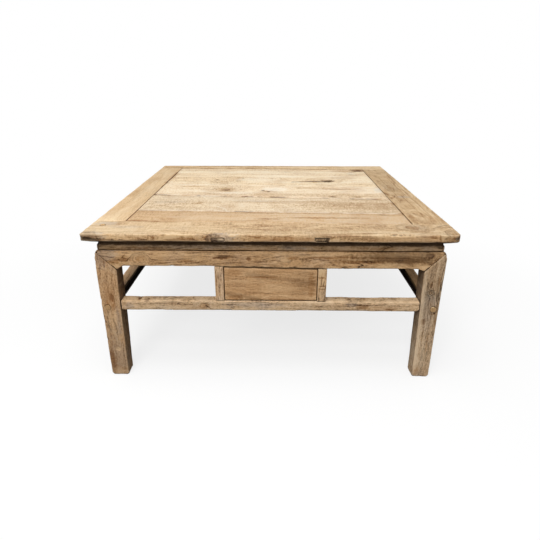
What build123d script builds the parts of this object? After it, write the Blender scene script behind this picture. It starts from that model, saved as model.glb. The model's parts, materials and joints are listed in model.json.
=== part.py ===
from build123d import *
import os

os.makedirs("parts", exist_ok=True)

# A square, waisted kang table with one drawer, joined with tenons, mitred shoulders,
# tongues, sliding dovetails and wooden pegs. All sizes are millimetres.
# X runs left to right, Y front to back and Z up. The origin lies on the floor
# under the middle of the table. Nothing here is glued: every joint has its clearance.

# ---------------------------------------------------------------- driving sizes

# Whole table
top_width = 1000.0
top_depth = 1000.0
table_height = 458.0

# Frame of the top. The members are tapered, so each has a width at both ends.
frame_thickness = 34.0
edge_height = 21.0                 # upright part of the outer edge
undercut = 30.0                    # how far the bevel runs in below that edge
edge_easing = 2.0                  # small bevel along the upper arris
front_rail_left = 121.0
front_rail_right = 92.0
back_rail_left = 64.0
back_rail_right = 96.0
left_end_front = 88.0
left_end_back = 95.0
right_end_front = 104.0
right_end_back = 100.0
corner_rounding = 6.0
worn_corner_rounding = 18.0        # the knocked front right corner

# Tenons of the end members, in the rails
end_tenon_inset = 20.0             # from the outer edge
end_tenon_width = 56.0
end_tenon_thickness = 10.0
end_tenon_rise = 14.0              # above the underside of the frame
front_tenon_length = 52.0
back_tenon_length = 44.0

# Panel of four tapered boards: widths at the left and right edge of the table, front to back.
# The last board takes what is left.
board_widths = [(115.0, 103.0), (202.0, 173.0), (175.5, 188.0)]
panel_thickness = 11.0
panel_tongue_thickness = 5.0
panel_tongue_length = 8.0
board_easing = 1.0                 # small bevel along the boards' upper arrises

# Battens under the boards
batten_offset = 137.0              # from the middle of the table
batten_width = 36.0
batten_height = 22.0
batten_tenon_height = 10.0
dovetail_ridge_height = 4.0
dovetail_ridge_neck = 20.0
dovetail_ridge_crown = 26.0
ridge_end_stop = 3.0

# Body under the top
body_overhang = 21.0               # how far the top stands out past the legs
apron_thickness = 22.0
apron_top = 401.0
spur_tip = 345.0                   # lowest point of the apron, in the leg's inner corner
spur_run = 18.0                    # how far the spur runs along the apron
apron_bottom_left_end = 357.0      # lower edge of the front apron, planed down to the right
apron_bottom_bay_left = 357.5
apron_bottom_bay_right = 351.6
apron_bottom_right_end = 352.3
plain_apron_bottom = 354.0         # lower edge of the other three aprons
apron_rounding = 2.0
mitre_margin = 3.0                 # the shoulder mitre ends this far from the leg's outer face
shoulder_drop = 12.0               # height of the rounded shoulder below the waist

# Waist strips
waist_setback = 9.0                # from the face of the apron
waist_lip = 5.0                    # end grain of the side strips that shows at the front
waist_tongue_thickness = 5.0
waist_tongue_height = 4.0
waist_tongue_inset = 4.0           # from the face of the waist
waist_tongue_stop = 22.0           # from the end of the waist
waist_rebate_depth = 3.0           # the dark step below the top
waist_rebate_height = 8.0

# Legs
leg_width = 58.0
leg_foot_width = 51.0
leg_rounding = 3.0
leg_inner_bevel = 4.0              # on the arris that faces the middle of the table
foot_chamfer = 2.0
leg_tenon_size = 16.0
leg_tenon_height = 12.0
leg_tenon_inset = 25.0             # from the leg's outer face
key_inset = 39.5                   # dovetail key that locks the apron, from the outer face
key_neck = 8.0
key_crown = 12.0
key_depth = 6.0
key_top_stop = 1.0                 # below the tongue of the waist

# Stretchers
stretcher_bottom = 221.5
stretcher_height = 31.5
stretcher_thickness = 34.0
front_stretcher_setback = 1.0      # from the face of the leg, front and back
side_stretcher_setback = 5.0
stretcher_top_rounding = 5.0
stretcher_rounding = 2.5
stretcher_tenon_thickness = 12.0
low_tenon_height = 18.0            # front and back stretchers
high_tenon_height = 12.0           # side stretchers, above the other pair
high_tenon_drop = 0.5
tenon_end_wall = 6.0               # wood left between the tenon's end and the leg's face

# Pegs
front_peg_radius = 6.0             # the pegs that show on the front and back of the legs
front_peg_head_radius = 9.0        # they taper from the head down to the shank
front_peg_head_length = 9.0
side_peg_radius = 4.0              # to the corners of the eight-sided peg
side_peg_sides = 8
stretcher_peg_inset = 18.0         # from the leg's outer face
stretcher_peg_length = 31.0
peg_proud = 1.0
top_peg_radius = 6.5               # the peg that shows on the top
top_peg_inset = 36.0               # from the left edge of the top
top_peg_from_seam = 38.0
top_peg_length = 28.0
blind_peg_radius = 4.0
blind_peg_inset = 68.0
blind_peg_from_seam = 22.0
blind_peg_length = 26.0

# Drawer bay
bay_centre = 2.0
bay_width = 261.0
post_width = 24.5
post_depth = 24.0
post_setback = 1.5                 # from the face of the leg
post_tenon_width = 16.0
post_tenon_thickness = 8.0
post_tenon_length = 12.0
runner_height = 24.0
runner_ledge = 3.0                 # past the inner face of the drawer's side
guide_height = 20.0
kicker_height = 26.0
kicker_clearance = 4.7             # above the drawer's sides
runner_tenon_width = 24.0
kicker_tenon_width = 10.0
rail_tenon_height = 12.0           # runners and kickers
rail_tenon_length = 10.0
runner_tenon_drop = 6.0            # below the top of the runner
kicker_tenon_drop = 1.0            # below the top of the kicker
stop_height = 14.0
stop_length = 20.0

# Drawer
drawer_length = 440.0
drawer_setback = 3.5
drawer_front_thickness = 17.0
drawer_side_thickness = 12.0
drawer_side_height = 94.0
drawer_back_thickness = 10.0
drawer_back_inset = 6.0            # from the ends of the sides
drawer_back_drop = 4.0             # below the top of the sides
drawer_back_housing = 4.0
drawer_bottom_thickness = 6.0
drawer_bottom_rise = 6.0           # above the lower edge of the sides
drawer_bottom_groove = 5.0
drawer_rounding = 1.0
tail_count = 3
tail_neck = 15.0
tail_crown = 20.0
tail_lap = 9.5                     # how far the tails run into the drawer front

# Fits
joint_gap = 0.1                    # round each tenon, tongue, key and peg
seam_gap = 0.4                     # between the boards and the frame, and board to board
running_gap = 0.3                  # drawer sides above their runners
drawer_side_gap = 1.5
drawer_head_gap = 3.3
drawer_foot_gap = 1.0
stop_gap = 0.5

# ---------------------------------------------------------------- worked-out places

past = 5.0                         # how far a cutter runs past the face it cuts
half_width = top_width / 2
half_depth = top_depth / 2
body_x = half_width - body_overhang          # outer faces of the legs and aprons
body_y = half_depth - body_overhang
frame_bottom = table_height - frame_thickness
edge_bottom = table_height - edge_height
panel_bottom = table_height - panel_thickness
batten_bottom = panel_bottom - batten_height
batten_tenon_bottom = panel_bottom - batten_tenon_height
end_tenon_bottom = frame_bottom + end_tenon_rise
end_tenon_top = end_tenon_bottom + end_tenon_thickness
leg_tenon_top = frame_bottom + leg_tenon_height
waist_thickness = apron_thickness - waist_setback
stretcher_top = stretcher_bottom + stretcher_height
low_tenon_top = stretcher_bottom + low_tenon_height
high_tenon_top = stretcher_top - high_tenon_drop
high_tenon_bottom = high_tenon_top - high_tenon_height
bay_left = bay_centre - bay_width / 2
bay_right = bay_centre + bay_width / 2


def line_between(low_end, high_end, half_length):
    """A straight seam as its middle value and its slope."""
    return (low_end + high_end) / 2, (high_end - low_end) / (2 * half_length)


def along(seam, distance):
    """Where a seam lies at a distance from the middle of the table."""
    return seam[0] + seam[1] * distance


def meet(cross_seam, end_seam, cross_shift=0.0, end_shift=0.0):
    """Where a seam along X meets a seam along Y, each moved by its shift."""
    y_middle = cross_seam[0] + cross_shift
    x_middle = end_seam[0] + end_shift
    y = (y_middle + cross_seam[1] * x_middle) / (1 - cross_seam[1] * end_seam[1])
    return x_middle + end_seam[1] * y, y


front_seam = line_between(-half_depth + front_rail_left, -half_depth + front_rail_right, half_width)
back_seam = line_between(half_depth - back_rail_left, half_depth - back_rail_right, half_width)
left_seam = line_between(-half_width + left_end_front, -half_width + left_end_back, half_depth)
right_seam = line_between(half_width - right_end_front, half_width - right_end_back, half_depth)

# Seams of the panel, from the front rail to the back rail
panel_seams = [front_seam]
left_y = along(front_seam, -half_width)
right_y = along(front_seam, half_width)
for width_left, width_right in board_widths:
    left_y += width_left
    right_y += width_right
    panel_seams.append(line_between(left_y, right_y, half_width))
panel_seams.append(back_seam)


def field(front, back, front_margin, back_margin, side_margin):
    """Corners of the area between two cross seams and the end members, drawn in by margins."""
    return [
        meet(front, left_seam, front_margin, side_margin),
        meet(front, right_seam, front_margin, -side_margin),
        meet(back, right_seam, -back_margin, -side_margin),
        meet(back, left_seam, -back_margin, side_margin),
    ]


def block(x_limits, y_limits, z_limits, mode=Mode.ADD):
    """Add a square block between limits to the piece being built, or cut it away."""
    limits = [sorted(x_limits), sorted(y_limits), sorted(z_limits)]
    centre = [(low + high) / 2 for low, high in limits]
    size = [high - low for low, high in limits]
    with Locations(tuple(centre)):
        Box(*size, mode=mode)


def save(piece, label):
    """Name a finished piece and write its file."""
    piece.part.label = label
    export_step(piece.part, f"parts/{label}.step")


# ---------------------------------------------------------------- outer forms

# The top as one form: an upright edge, eased at its upper arris, over a bevel that
# runs in to the waist. Each frame member is the part of it inside its own outline.
with BuildPart() as top_form:
    with BuildSketch(Plane.XY.offset(frame_bottom)):
        RectangleRounded(top_width - 2 * undercut, top_depth - 2 * undercut, corner_rounding)
    with BuildSketch(Plane.XY.offset(edge_bottom)):
        RectangleRounded(top_width, top_depth, corner_rounding)
    loft(ruled=True)
    with BuildSketch(Plane.XY.offset(edge_bottom)):
        RectangleRounded(top_width, top_depth, corner_rounding)
    extrude(amount=edge_height)
    chamfer(top_form.faces().sort_by(Axis.Z)[-1].edges(), edge_easing)

# The knocked corner is one larger quarter round, cut through the front rail alone
with BuildPart() as knocked_corner:
    with BuildSketch(Plane.XY.offset(frame_bottom)):
        with Locations((half_width - worn_corner_rounding / 2, -half_depth + worn_corner_rounding / 2)):
            Rectangle(worn_corner_rounding, worn_corner_rounding)
        with Locations((half_width - worn_corner_rounding, -half_depth + worn_corner_rounding)):
            Circle(worn_corner_rounding, mode=Mode.SUBTRACT)
    extrude(amount=frame_thickness)

# The body as one form: upright faces, then a shoulder that rounds in to the waist
with BuildPart() as body_form:
    with BuildSketch(Plane.XY):
        Rectangle(2 * body_x, 2 * body_y)
    extrude(amount=apron_top - shoulder_drop)
    shoulder_steps = [(0.0, 0.0), (0.45, 0.15), (0.8, 0.5), (1.0, 0.97)]
    for (rise_a, inset_a), (rise_b, inset_b) in zip(shoulder_steps, shoulder_steps[1:]):
        for rise, inset in ((rise_a, inset_a), (rise_b, inset_b)):
            with BuildSketch(Plane.XY.offset(apron_top - shoulder_drop * (1 - rise))):
                draw_in = 2 * waist_setback * inset
                Rectangle(2 * body_x - draw_in, 2 * body_y - draw_in)
        loft(ruled=True)


# ---------------------------------------------------------------- top frame

def cut_waist_grooves(z_limits):
    """Cut the four grooves that take the tongues of the waist strips."""
    outer = waist_setback + waist_tongue_inset - joint_gap
    inner = waist_setback + waist_tongue_inset + waist_tongue_thickness + joint_gap
    reach = waist_setback + waist_tongue_stop - joint_gap
    for side in (-1, 1):
        block((reach - body_x, body_x - reach), (side * (body_y - outer), side * (body_y - inner)),
              z_limits, mode=Mode.SUBTRACT)
        block((side * (body_x - outer), side * (body_x - inner)), (reach - body_y, body_y - reach),
              z_limits, mode=Mode.SUBTRACT)


def cut_frame_joints():
    """Cut what every member of the top frame may share: panel groove, mortises, peg holes."""
    groove_depth = panel_tongue_length + seam_gap
    with BuildSketch(Plane.XY.offset(panel_bottom - joint_gap), mode=Mode.PRIVATE) as groove:
        Polygon(*field(front_seam, back_seam, -groove_depth, -groove_depth, -groove_depth))
    extrude(groove.sketch, amount=panel_tongue_thickness + 2 * joint_gap, mode=Mode.SUBTRACT)
    for side in (-1, 1):
        block((side * batten_offset - batten_width / 2 - joint_gap,
               side * batten_offset + batten_width / 2 + joint_gap),
              (-half_depth - past, half_depth + past),
              (batten_tenon_bottom - joint_gap, panel_bottom + joint_gap), mode=Mode.SUBTRACT)
    tenon_outer = leg_tenon_inset - joint_gap
    tenon_inner = leg_tenon_inset + leg_tenon_size + joint_gap
    for side_x in (-1, 1):
        for side_y in (-1, 1):
            block((side_x * (body_x - tenon_outer), side_x * (body_x - tenon_inner)),
                  (side_y * (body_y - tenon_outer), side_y * (body_y - tenon_inner)),
                  (frame_bottom - past, leg_tenon_top + joint_gap), mode=Mode.SUBTRACT)
    cut_waist_grooves((frame_bottom - past, frame_bottom + waist_tongue_height + joint_gap))


def end_tenon_limits(side_x, side_y, margin):
    """X and Y limits of the tenon that an end member sends into a rail."""
    outer = half_width - end_tenon_inset + margin
    inner = half_width - end_tenon_inset - end_tenon_width - margin
    seam = front_seam if side_y < 0 else back_seam
    length = front_tenon_length if side_y < 0 else back_tenon_length
    middle = side_x * (outer + inner) / 2
    root = along(seam, middle)
    return (side_x * outer, side_x * inner), (root - side_y * 2 * past, root + side_y * (length + margin))


def top_peg_places(margin):
    """Centre, radius, lower end and length of the four pegs of the top frame."""
    shown_x = -half_width + top_peg_inset
    places = [(shown_x, along(front_seam, shown_x) - top_peg_from_seam, top_peg_radius + margin,
               table_height - top_peg_length - margin, top_peg_length + 2 * margin)]
    for side_x, seam, way in ((1, front_seam, -1), (-1, back_seam, 1), (1, back_seam, 1)):
        blind_x = side_x * (half_width - blind_peg_inset)
        places.append((blind_x, along(seam, blind_x) + way * blind_peg_from_seam,
                       blind_peg_radius + margin, frame_bottom - margin, blind_peg_length + 2 * margin))
    return places


def bore_top_pegs():
    """Bore the holes of the top frame's pegs."""
    for x, y, radius, bottom, length in top_peg_places(joint_gap):
        with Locations((x, y, bottom + length / 2)):
            Cylinder(radius, length, mode=Mode.SUBTRACT)


for label, side_y, seam in (("top_front_rail", -1, front_seam), ("top_back_rail", 1, back_seam)):
    with BuildPart() as rail:
        with BuildSketch(Plane.XY.offset(frame_bottom)):
            Polygon((-half_width, side_y * half_depth), (half_width, side_y * half_depth),
                    (half_width, along(seam, half_width)), (-half_width, along(seam, -half_width)))
        extrude(amount=frame_thickness)
        add(top_form.part, mode=Mode.INTERSECT)
        if side_y < 0:
            add(knocked_corner.part, mode=Mode.SUBTRACT)
        cut_frame_joints()
        for side_x in (-1, 1):
            x_limits, y_limits = end_tenon_limits(side_x, side_y, joint_gap)
            block(x_limits, y_limits, (end_tenon_bottom - joint_gap, end_tenon_top + joint_gap),
                  mode=Mode.SUBTRACT)
        bore_top_pegs()
    save(rail, label)

for label, side_x, seam in (("top_left_end", -1, left_seam), ("top_right_end", 1, right_seam)):
    edge_x = side_x * half_width
    with BuildPart() as end_member:
        with BuildSketch(Plane.XY.offset(frame_bottom)):
            Polygon((edge_x, along(front_seam, edge_x) + seam_gap),
                    meet(front_seam, seam, seam_gap, 0),
                    meet(back_seam, seam, -seam_gap, 0),
                    (edge_x, along(back_seam, edge_x) - seam_gap))
        extrude(amount=frame_thickness)
        add(top_form.part, mode=Mode.INTERSECT)
        cut_frame_joints()
        for side_y in (-1, 1):
            x_limits, y_limits = end_tenon_limits(side_x, side_y, 0)
            block(x_limits, y_limits, (end_tenon_bottom, end_tenon_top))
        bore_top_pegs()
    save(end_member, label)

# ---------------------------------------------------------------- panel and battens


def ridge_outline(centre, margin):
    """Section of the batten's sliding dovetail, neck down."""
    return [
        (centre - dovetail_ridge_neck / 2 - margin, panel_bottom - margin),
        (centre + dovetail_ridge_neck / 2 + margin, panel_bottom - margin),
        (centre + dovetail_ridge_crown / 2 + margin, panel_bottom + dovetail_ridge_height + margin),
        (centre - dovetail_ridge_crown / 2 - margin, panel_bottom + dovetail_ridge_height + margin),
    ]


for number, (front, back) in enumerate(zip(panel_seams, panel_seams[1:]), start=1):
    is_first = front is front_seam
    is_last = back is back_seam
    front_margin = seam_gap if is_first else seam_gap / 2
    back_margin = seam_gap if is_last else seam_gap / 2
    with BuildPart() as board:
        with BuildSketch(Plane.XY.offset(panel_bottom)):
            Polygon(*field(front, back, front_margin, back_margin, seam_gap))
        extrude(amount=panel_thickness)
        chamfer(board.faces().sort_by(Axis.Z)[-1].edges(), board_easing)
        front_tongue = -panel_tongue_length if is_first else front_margin
        back_tongue = -panel_tongue_length if is_last else back_margin
        with BuildSketch(Plane.XY.offset(panel_bottom)):
            Polygon(*field(front, back, front_tongue, back_tongue, -panel_tongue_length))
        extrude(amount=panel_tongue_thickness)
        with BuildSketch(Plane.XZ):
            for side in (-1, 1):
                Polygon(*ridge_outline(side * batten_offset, joint_gap))
        extrude(amount=half_depth, both=True, mode=Mode.SUBTRACT)
    save(board, f"panel_board_{number}")

for label, side in (("batten_left", -1), ("batten_right", 1)):
    centre = side * batten_offset
    near = centre - batten_width / 2
    far = centre + batten_width / 2
    ridge_front = along(front_seam, centre) + ridge_end_stop
    ridge_back = along(back_seam, centre) - ridge_end_stop
    with BuildPart() as batten:
        with BuildSketch(Plane.XY.offset(batten_bottom)):
            Polygon((near, along(front_seam, near) + joint_gap), (far, along(front_seam, far) + joint_gap),
                    (far, along(back_seam, far) - joint_gap), (near, along(back_seam, near) - joint_gap))
        extrude(amount=batten_height)
        block((near, far), (-half_depth, half_depth), (batten_tenon_bottom, panel_bottom))
        with BuildSketch(Plane.XZ.offset(-ridge_front)):
            Polygon(*ridge_outline(centre, 0))
        extrude(amount=ridge_front - ridge_back)
    save(batten, label)

# ---------------------------------------------------------------- joint between leg and apron


def mitre_height(inset):
    """Height of the shoulder mitre at a distance in from the leg's outer face."""
    slope = (apron_top - spur_tip) / (leg_width - mitre_margin)
    return spur_tip + slope * (leg_width - inset)


def mitre_cutter(outer, side):
    """Outline of what the apron takes from the leg's outer layer, above the mitre."""
    far_inset = leg_width + past
    return [
        (side * (outer - far_inset), mitre_height(far_inset)),
        (side * (outer + past), mitre_height(-past)),
        (side * (outer + past), frame_bottom + past),
        (side * (outer - far_inset), frame_bottom + past),
    ]


def key_outline(margin):
    """Plan of the dovetail key as (along the apron, out from the stub's face)."""
    return [
        (-key_neck / 2 - margin, -joint_gap),
        (key_neck / 2 + margin, -joint_gap),
        (key_crown / 2 + margin, key_depth + margin),
        (-key_crown / 2 - margin, key_depth + margin),
    ]


def leg_inner(outer, height):
    """Distance of the leg's inner face from the middle of the table, at a height."""
    growth = (leg_width - leg_foot_width) * min(height / spur_tip, 1.0)
    return outer - leg_foot_width - growth


# ---------------------------------------------------------------- stretcher joints and pegs

def stretcher_tenon(setback, margin):
    """Near and far face of a stretcher's tenon, as insets from the leg's face."""
    middle = setback + stretcher_thickness / 2
    reach = stretcher_tenon_thickness / 2 + margin
    return middle - reach, middle + reach


def stretcher_peg_places(side_x, side_y):
    """Centres of a corner's two pegs: one through the front or back face, one through the side."""
    low_z = (stretcher_bottom + low_tenon_top) / 2
    high_z = (high_tenon_bottom + high_tenon_top) / 2
    depth = stretcher_peg_length / 2 - peg_proud
    peg_x = body_x - stretcher_peg_inset
    peg_y = body_y - stretcher_peg_inset
    front_peg = (side_x * peg_x, side_y * (body_y - depth), low_z)
    side_peg = (side_x * (body_x - depth), side_y * peg_y, high_z)
    return front_peg, side_peg


def stretcher_pegs(side_x, side_y, margin, mode):
    """Add a corner's two pegs, or bore their holes."""
    front_peg, side_peg = stretcher_peg_places(side_x, side_y)
    length = stretcher_peg_length + 2 * margin
    head_length = front_peg_head_length + 2 * margin
    head_y = side_y * (body_y + peg_proud - front_peg_head_length / 2)
    outward = (-90 * side_y, 0, 0)
    with Locations(Location(front_peg, outward)):
        Cylinder(front_peg_radius + margin, length, mode=mode)
    with Locations(Location((front_peg[0], head_y, front_peg[2]), outward)):
        Cone(front_peg_radius + margin, front_peg_head_radius + margin, head_length, mode=mode)
    with BuildSketch(Plane(origin=side_peg, z_dir=(1, 0, 0))) as outline:
        RegularPolygon(side_peg_radius + margin, side_peg_sides)
    extrude(outline.sketch, amount=length / 2, both=True, mode=mode)


# ---------------------------------------------------------------- legs

def reach_from_middle(vertex):
    """How far a corner lies from the middle of the table, to tell a leg's inner corner."""
    return abs(vertex.X) + abs(vertex.Y)


corners = {
    "leg_front_left": (-1, -1),
    "leg_front_right": (1, -1),
    "leg_back_left": (-1, 1),
    "leg_back_right": (1, 1),
}
stub_inset = apron_thickness + joint_gap

for label, (side_x, side_y) in corners.items():
    with BuildPart() as leg:
        # Straight outside, tapered inside, from the foot up to the spur and on to the waist
        for height, width in ((0, leg_foot_width), (spur_tip, leg_width), (apron_top, leg_width)):
            with BuildSketch(Plane.XY.offset(height)) as section:
                with Locations((side_x * (body_x - width / 2), side_y * (body_y - width / 2))):
                    Rectangle(width, width)
                fillet(section.vertices().sort_by(reach_from_middle)[1:], leg_rounding)
                chamfer(section.vertices().sort_by(reach_from_middle)[0], leg_inner_bevel)
        loft(ruled=True)
        chamfer(leg.faces().sort_by(Axis.Z)[0].edges(), foot_chamfer)
        add(body_form.part, mode=Mode.INTERSECT)

        # The outer layers above the mitres go to the aprons
        layer_middle = (stub_inset - past) / 2
        layer_half = (stub_inset + past) / 2
        with BuildSketch(Plane.XZ.offset(-side_y * (body_y - layer_middle))):
            Polygon(*mitre_cutter(body_x, side_x))
        extrude(amount=layer_half, both=True, mode=Mode.SUBTRACT)
        with BuildSketch(Plane.YZ.offset(side_x * (body_x - layer_middle))):
            Polygon(*mitre_cutter(body_y, side_y))
        extrude(amount=layer_half, both=True, mode=Mode.SUBTRACT)

        # The stub behind the aprons carries the dovetail keys and the tenon into the top
        block((side_x * (body_x - leg_width + leg_rounding), side_x * (body_x - stub_inset)),
              (side_y * (body_y - leg_width + leg_rounding), side_y * (body_y - stub_inset)),
              (spur_tip, frame_bottom - joint_gap))
        with BuildSketch(Plane.XY.offset(spur_tip)):
            Polygon(*[(side_x * (body_x - key_inset + u), side_y * (body_y - stub_inset + v))
                      for u, v in key_outline(0)])
            Polygon(*[(side_x * (body_x - stub_inset + v), side_y * (body_y - key_inset + u))
                      for u, v in key_outline(0)])
        extrude(amount=apron_top - waist_tongue_height - key_top_stop - spur_tip)
        block((side_x * (body_x - leg_tenon_inset), side_x * (body_x - leg_tenon_inset - leg_tenon_size)),
              (side_y * (body_y - leg_tenon_inset), side_y * (body_y - leg_tenon_inset - leg_tenon_size)),
              (frame_bottom - past, leg_tenon_top))

        # Mortises: low from the front or back stretcher, high from the side stretcher
        end_x = body_x - tenon_end_wall + joint_gap
        end_y = body_y - tenon_end_wall + joint_gap
        near_y, far_y = stretcher_tenon(front_stretcher_setback, joint_gap)
        near_x, far_x = stretcher_tenon(side_stretcher_setback, joint_gap)
        block((side_x * (body_x - leg_width - past), side_x * end_x),
              (side_y * (body_y - near_y), side_y * (body_y - far_y)),
              (stretcher_bottom - joint_gap, low_tenon_top + joint_gap), mode=Mode.SUBTRACT)
        block((side_x * (body_x - near_x), side_x * (body_x - far_x)),
              (side_y * (body_y - leg_width - past), side_y * end_y),
              (high_tenon_bottom - joint_gap, high_tenon_top + joint_gap), mode=Mode.SUBTRACT)
        stretcher_pegs(side_x, side_y, joint_gap, Mode.SUBTRACT)
    save(leg, label)

with BuildPart() as stretcher_peg_set:
    for side_x, side_y in corners.values():
        stretcher_pegs(side_x, side_y, 0, Mode.ADD)
save(stretcher_peg_set, "stretcher_pegs")

with BuildPart() as top_peg_set:
    for x, y, radius, bottom, length in top_peg_places(0):
        with Locations((x, y, bottom + length / 2)):
            Cylinder(radius, length)
save(top_peg_set, "top_pegs")

# ---------------------------------------------------------------- waist strips

tongue_outer = waist_setback + waist_tongue_inset
tongue_inner = tongue_outer + waist_tongue_thickness
tongue_end = waist_setback + waist_tongue_stop
waist_face_x = body_x - waist_setback
waist_face_y = body_y - waist_setback
tongue_limits = (apron_top - waist_tongue_height, frame_bottom + waist_tongue_height)
rebate_limits = (frame_bottom - waist_rebate_height, frame_bottom)

for label, side in (("waist_front", -1), ("waist_back", 1)):
    reach = waist_face_x - waist_lip - joint_gap
    with BuildPart() as strip:
        block((-reach, reach), (side * waist_face_y, side * (waist_face_y - waist_thickness)),
              (apron_top, frame_bottom))
        block((-reach, reach), (side * waist_face_y, side * (waist_face_y - waist_rebate_depth)),
              rebate_limits, mode=Mode.SUBTRACT)
        block((tongue_end - body_x, body_x - tongue_end),
              (side * (body_y - tongue_outer), side * (body_y - tongue_inner)), tongue_limits)
    save(strip, label)

for label, side in (("waist_left", -1), ("waist_right", 1)):
    reach = waist_face_y - waist_thickness - joint_gap
    with BuildPart() as strip:
        block((side * waist_face_x, side * (waist_face_x - waist_lip)), (-waist_face_y, waist_face_y),
              (apron_top, frame_bottom))
        block((side * waist_face_x, side * (waist_face_x - waist_thickness)), (-reach, reach),
              (apron_top, frame_bottom))
        block((side * waist_face_x, side * (waist_face_x - waist_rebate_depth)),
              (-waist_face_y, waist_face_y), rebate_limits, mode=Mode.SUBTRACT)
        for end in (-1, 1):
            block((side * waist_face_x, side * (waist_face_x - waist_lip)),
                  (end * waist_face_y, end * (waist_face_y - waist_rebate_depth)), rebate_limits,
                  mode=Mode.SUBTRACT)
        block((side * (body_x - tongue_outer), side * (body_x - tongue_inner)),
              (tongue_end - body_y, body_y - tongue_end), tongue_limits)
    save(strip, label)

# ---------------------------------------------------------------- aprons


def apron_underside(half_length):
    """Lower edge of the front apron, from its right spur to its left spur."""
    spur_root = half_length - leg_width - spur_run
    return [
        (spur_root, apron_bottom_right_end),
        (bay_right, apron_bottom_bay_right),
        (bay_left - post_width, apron_bottom_bay_left),
        (-spur_root, apron_bottom_left_end),
    ]


def plain_underside(half_length):
    """Lower edge of the back and side aprons."""
    spur_root = half_length - leg_width - spur_run
    return [(spur_root, plain_apron_bottom), (-spur_root, plain_apron_bottom)]


def underside_at(x):
    """Height of the front apron's lower edge over the drawer bay."""
    share = (x - (bay_left - post_width)) / (bay_right - bay_left + post_width)
    return apron_bottom_bay_left + share * (apron_bottom_bay_right - apron_bottom_bay_left)


kicker_bottom = stretcher_top + running_gap + drawer_side_height + kicker_clearance
kicker_top = kicker_bottom + kicker_height
rail_places = {"left": (bay_left, -1), "right": (bay_right, 1)}
ledge_reach = drawer_side_gap + drawer_side_thickness + runner_ledge


def runner_limits(side_name):
    """X limits of a runner: from the post's outer face to just inside the drawer's side."""
    edge, side = rail_places[side_name]
    return edge + side * post_width, edge - side * ledge_reach


def kicker_limits(side_name):
    """X limits of a kicker, which lies over the drawer's side alone."""
    edge, side = rail_places[side_name]
    return edge, edge - side * ledge_reach


def tenon_limits(limits, width, margin):
    """Limits of a tenon in the middle of a rail."""
    middle = sum(limits) / 2
    return middle - width / 2 - margin, middle + width / 2 + margin


def post_tenon_limits(side_name, margin):
    """X and Y limits of a post's tenons."""
    edge, side = rail_places[side_name]
    middle_x = edge + side * post_width / 2
    middle_y = -(body_y - post_setback - post_depth / 2)
    reach_x = post_tenon_width / 2 + margin
    reach_y = post_tenon_thickness / 2 + margin
    return (middle_x - reach_x, middle_x + reach_x), (middle_y - reach_y, middle_y + reach_y)


# One apron for each quarter turn: its half length, the distance of its face, its lower edge
apron_sides = {
    "apron_front": (body_x, body_y, apron_underside(body_x)),
    "apron_right": (body_y, body_x, plain_underside(body_y)),
    "apron_back": (body_x, body_y, plain_underside(body_x)),
    "apron_left": (body_y, body_x, plain_underside(body_y)),
}

for quarter, (label, (half_length, face, underside)) in enumerate(apron_sides.items()):
    turn = 90 * quarter
    inner = half_length - leg_width - joint_gap
    shoulder = half_length - mitre_margin - joint_gap
    face_plane = Plane.XZ.rotated((0, 0, turn)).offset(face)
    plan = Plane.XY.rotated((0, 0, turn))
    with BuildPart() as apron:
        with BuildSketch(face_plane):
            Polygon((-shoulder, apron_top), (-inner, spur_tip), *reversed(underside),
                    (inner, spur_tip), (shoulder, apron_top))
        extrude(amount=-apron_thickness)
        outward = Vector(0, -1, 0).rotate(Axis.Z, turn)
        lower_arrises = apron.edges().filter_by(
            lambda edge: edge.length > 2 * spur_run
            and edge.center().Z < apron_top - shoulder_drop
            and edge.center().dot(outward) > face - apron_rounding)
        fillet(lower_arrises, apron_rounding)
        with BuildSketch(plan.offset(spur_tip - past)):
            # The ends are mitred in plan as well, where two aprons meet behind the leg's corner
            half_a = half_length - joint_gap
            half_b = half_length - apron_thickness - joint_gap
            Polygon((-half_a, -face), (half_a, -face),
                    (half_b, -face + apron_thickness), (-half_b, -face + apron_thickness))
        extrude(amount=apron_top - spur_tip + 2 * past, mode=Mode.INTERSECT)
        add(body_form.part, mode=Mode.INTERSECT)
        with BuildSketch(plan.offset(spur_tip - past)):
            for side in (-1, 1):
                Polygon(*[(side * (half_length - key_inset) + u, -(face - stub_inset + v))
                          for u, v in key_outline(joint_gap)])
        extrude(amount=apron_top - spur_tip + 2 * past, mode=Mode.SUBTRACT)
        cut_waist_grooves((apron_top - waist_tongue_height - joint_gap, apron_top + past))
        if label in ("apron_front", "apron_back"):
            for side_name in rail_places:
                block(tenon_limits(kicker_limits(side_name), kicker_tenon_width, joint_gap),
                      (-(body_y - apron_thickness + rail_tenon_length + joint_gap),
                       body_y - apron_thickness + rail_tenon_length + joint_gap),
                      (kicker_top - kicker_tenon_drop - rail_tenon_height - joint_gap,
                       kicker_top - kicker_tenon_drop + joint_gap), mode=Mode.SUBTRACT)
        if label == "apron_front":
            for side_name in rail_places:
                x_limits, y_limits = post_tenon_limits(side_name, joint_gap)
                middle = sum(x_limits) / 2
                block(x_limits, y_limits,
                      (spur_tip, underside_at(middle) + post_tenon_length + joint_gap),
                      mode=Mode.SUBTRACT)
    save(apron, label)

# ---------------------------------------------------------------- stretchers

# One stretcher for each quarter turn: its half length, the legs' face and its setback from it
stretcher_sides = {
    "stretcher_front": (body_x, body_y, front_stretcher_setback),
    "stretcher_right": (body_y, body_x, side_stretcher_setback),
    "stretcher_back": (body_x, body_y, front_stretcher_setback),
    "stretcher_left": (body_y, body_x, side_stretcher_setback),
}
runner_top = stretcher_top
runner_tenon_top = runner_top - runner_tenon_drop
front_stretcher_back = body_y - front_stretcher_setback - stretcher_thickness


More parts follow.
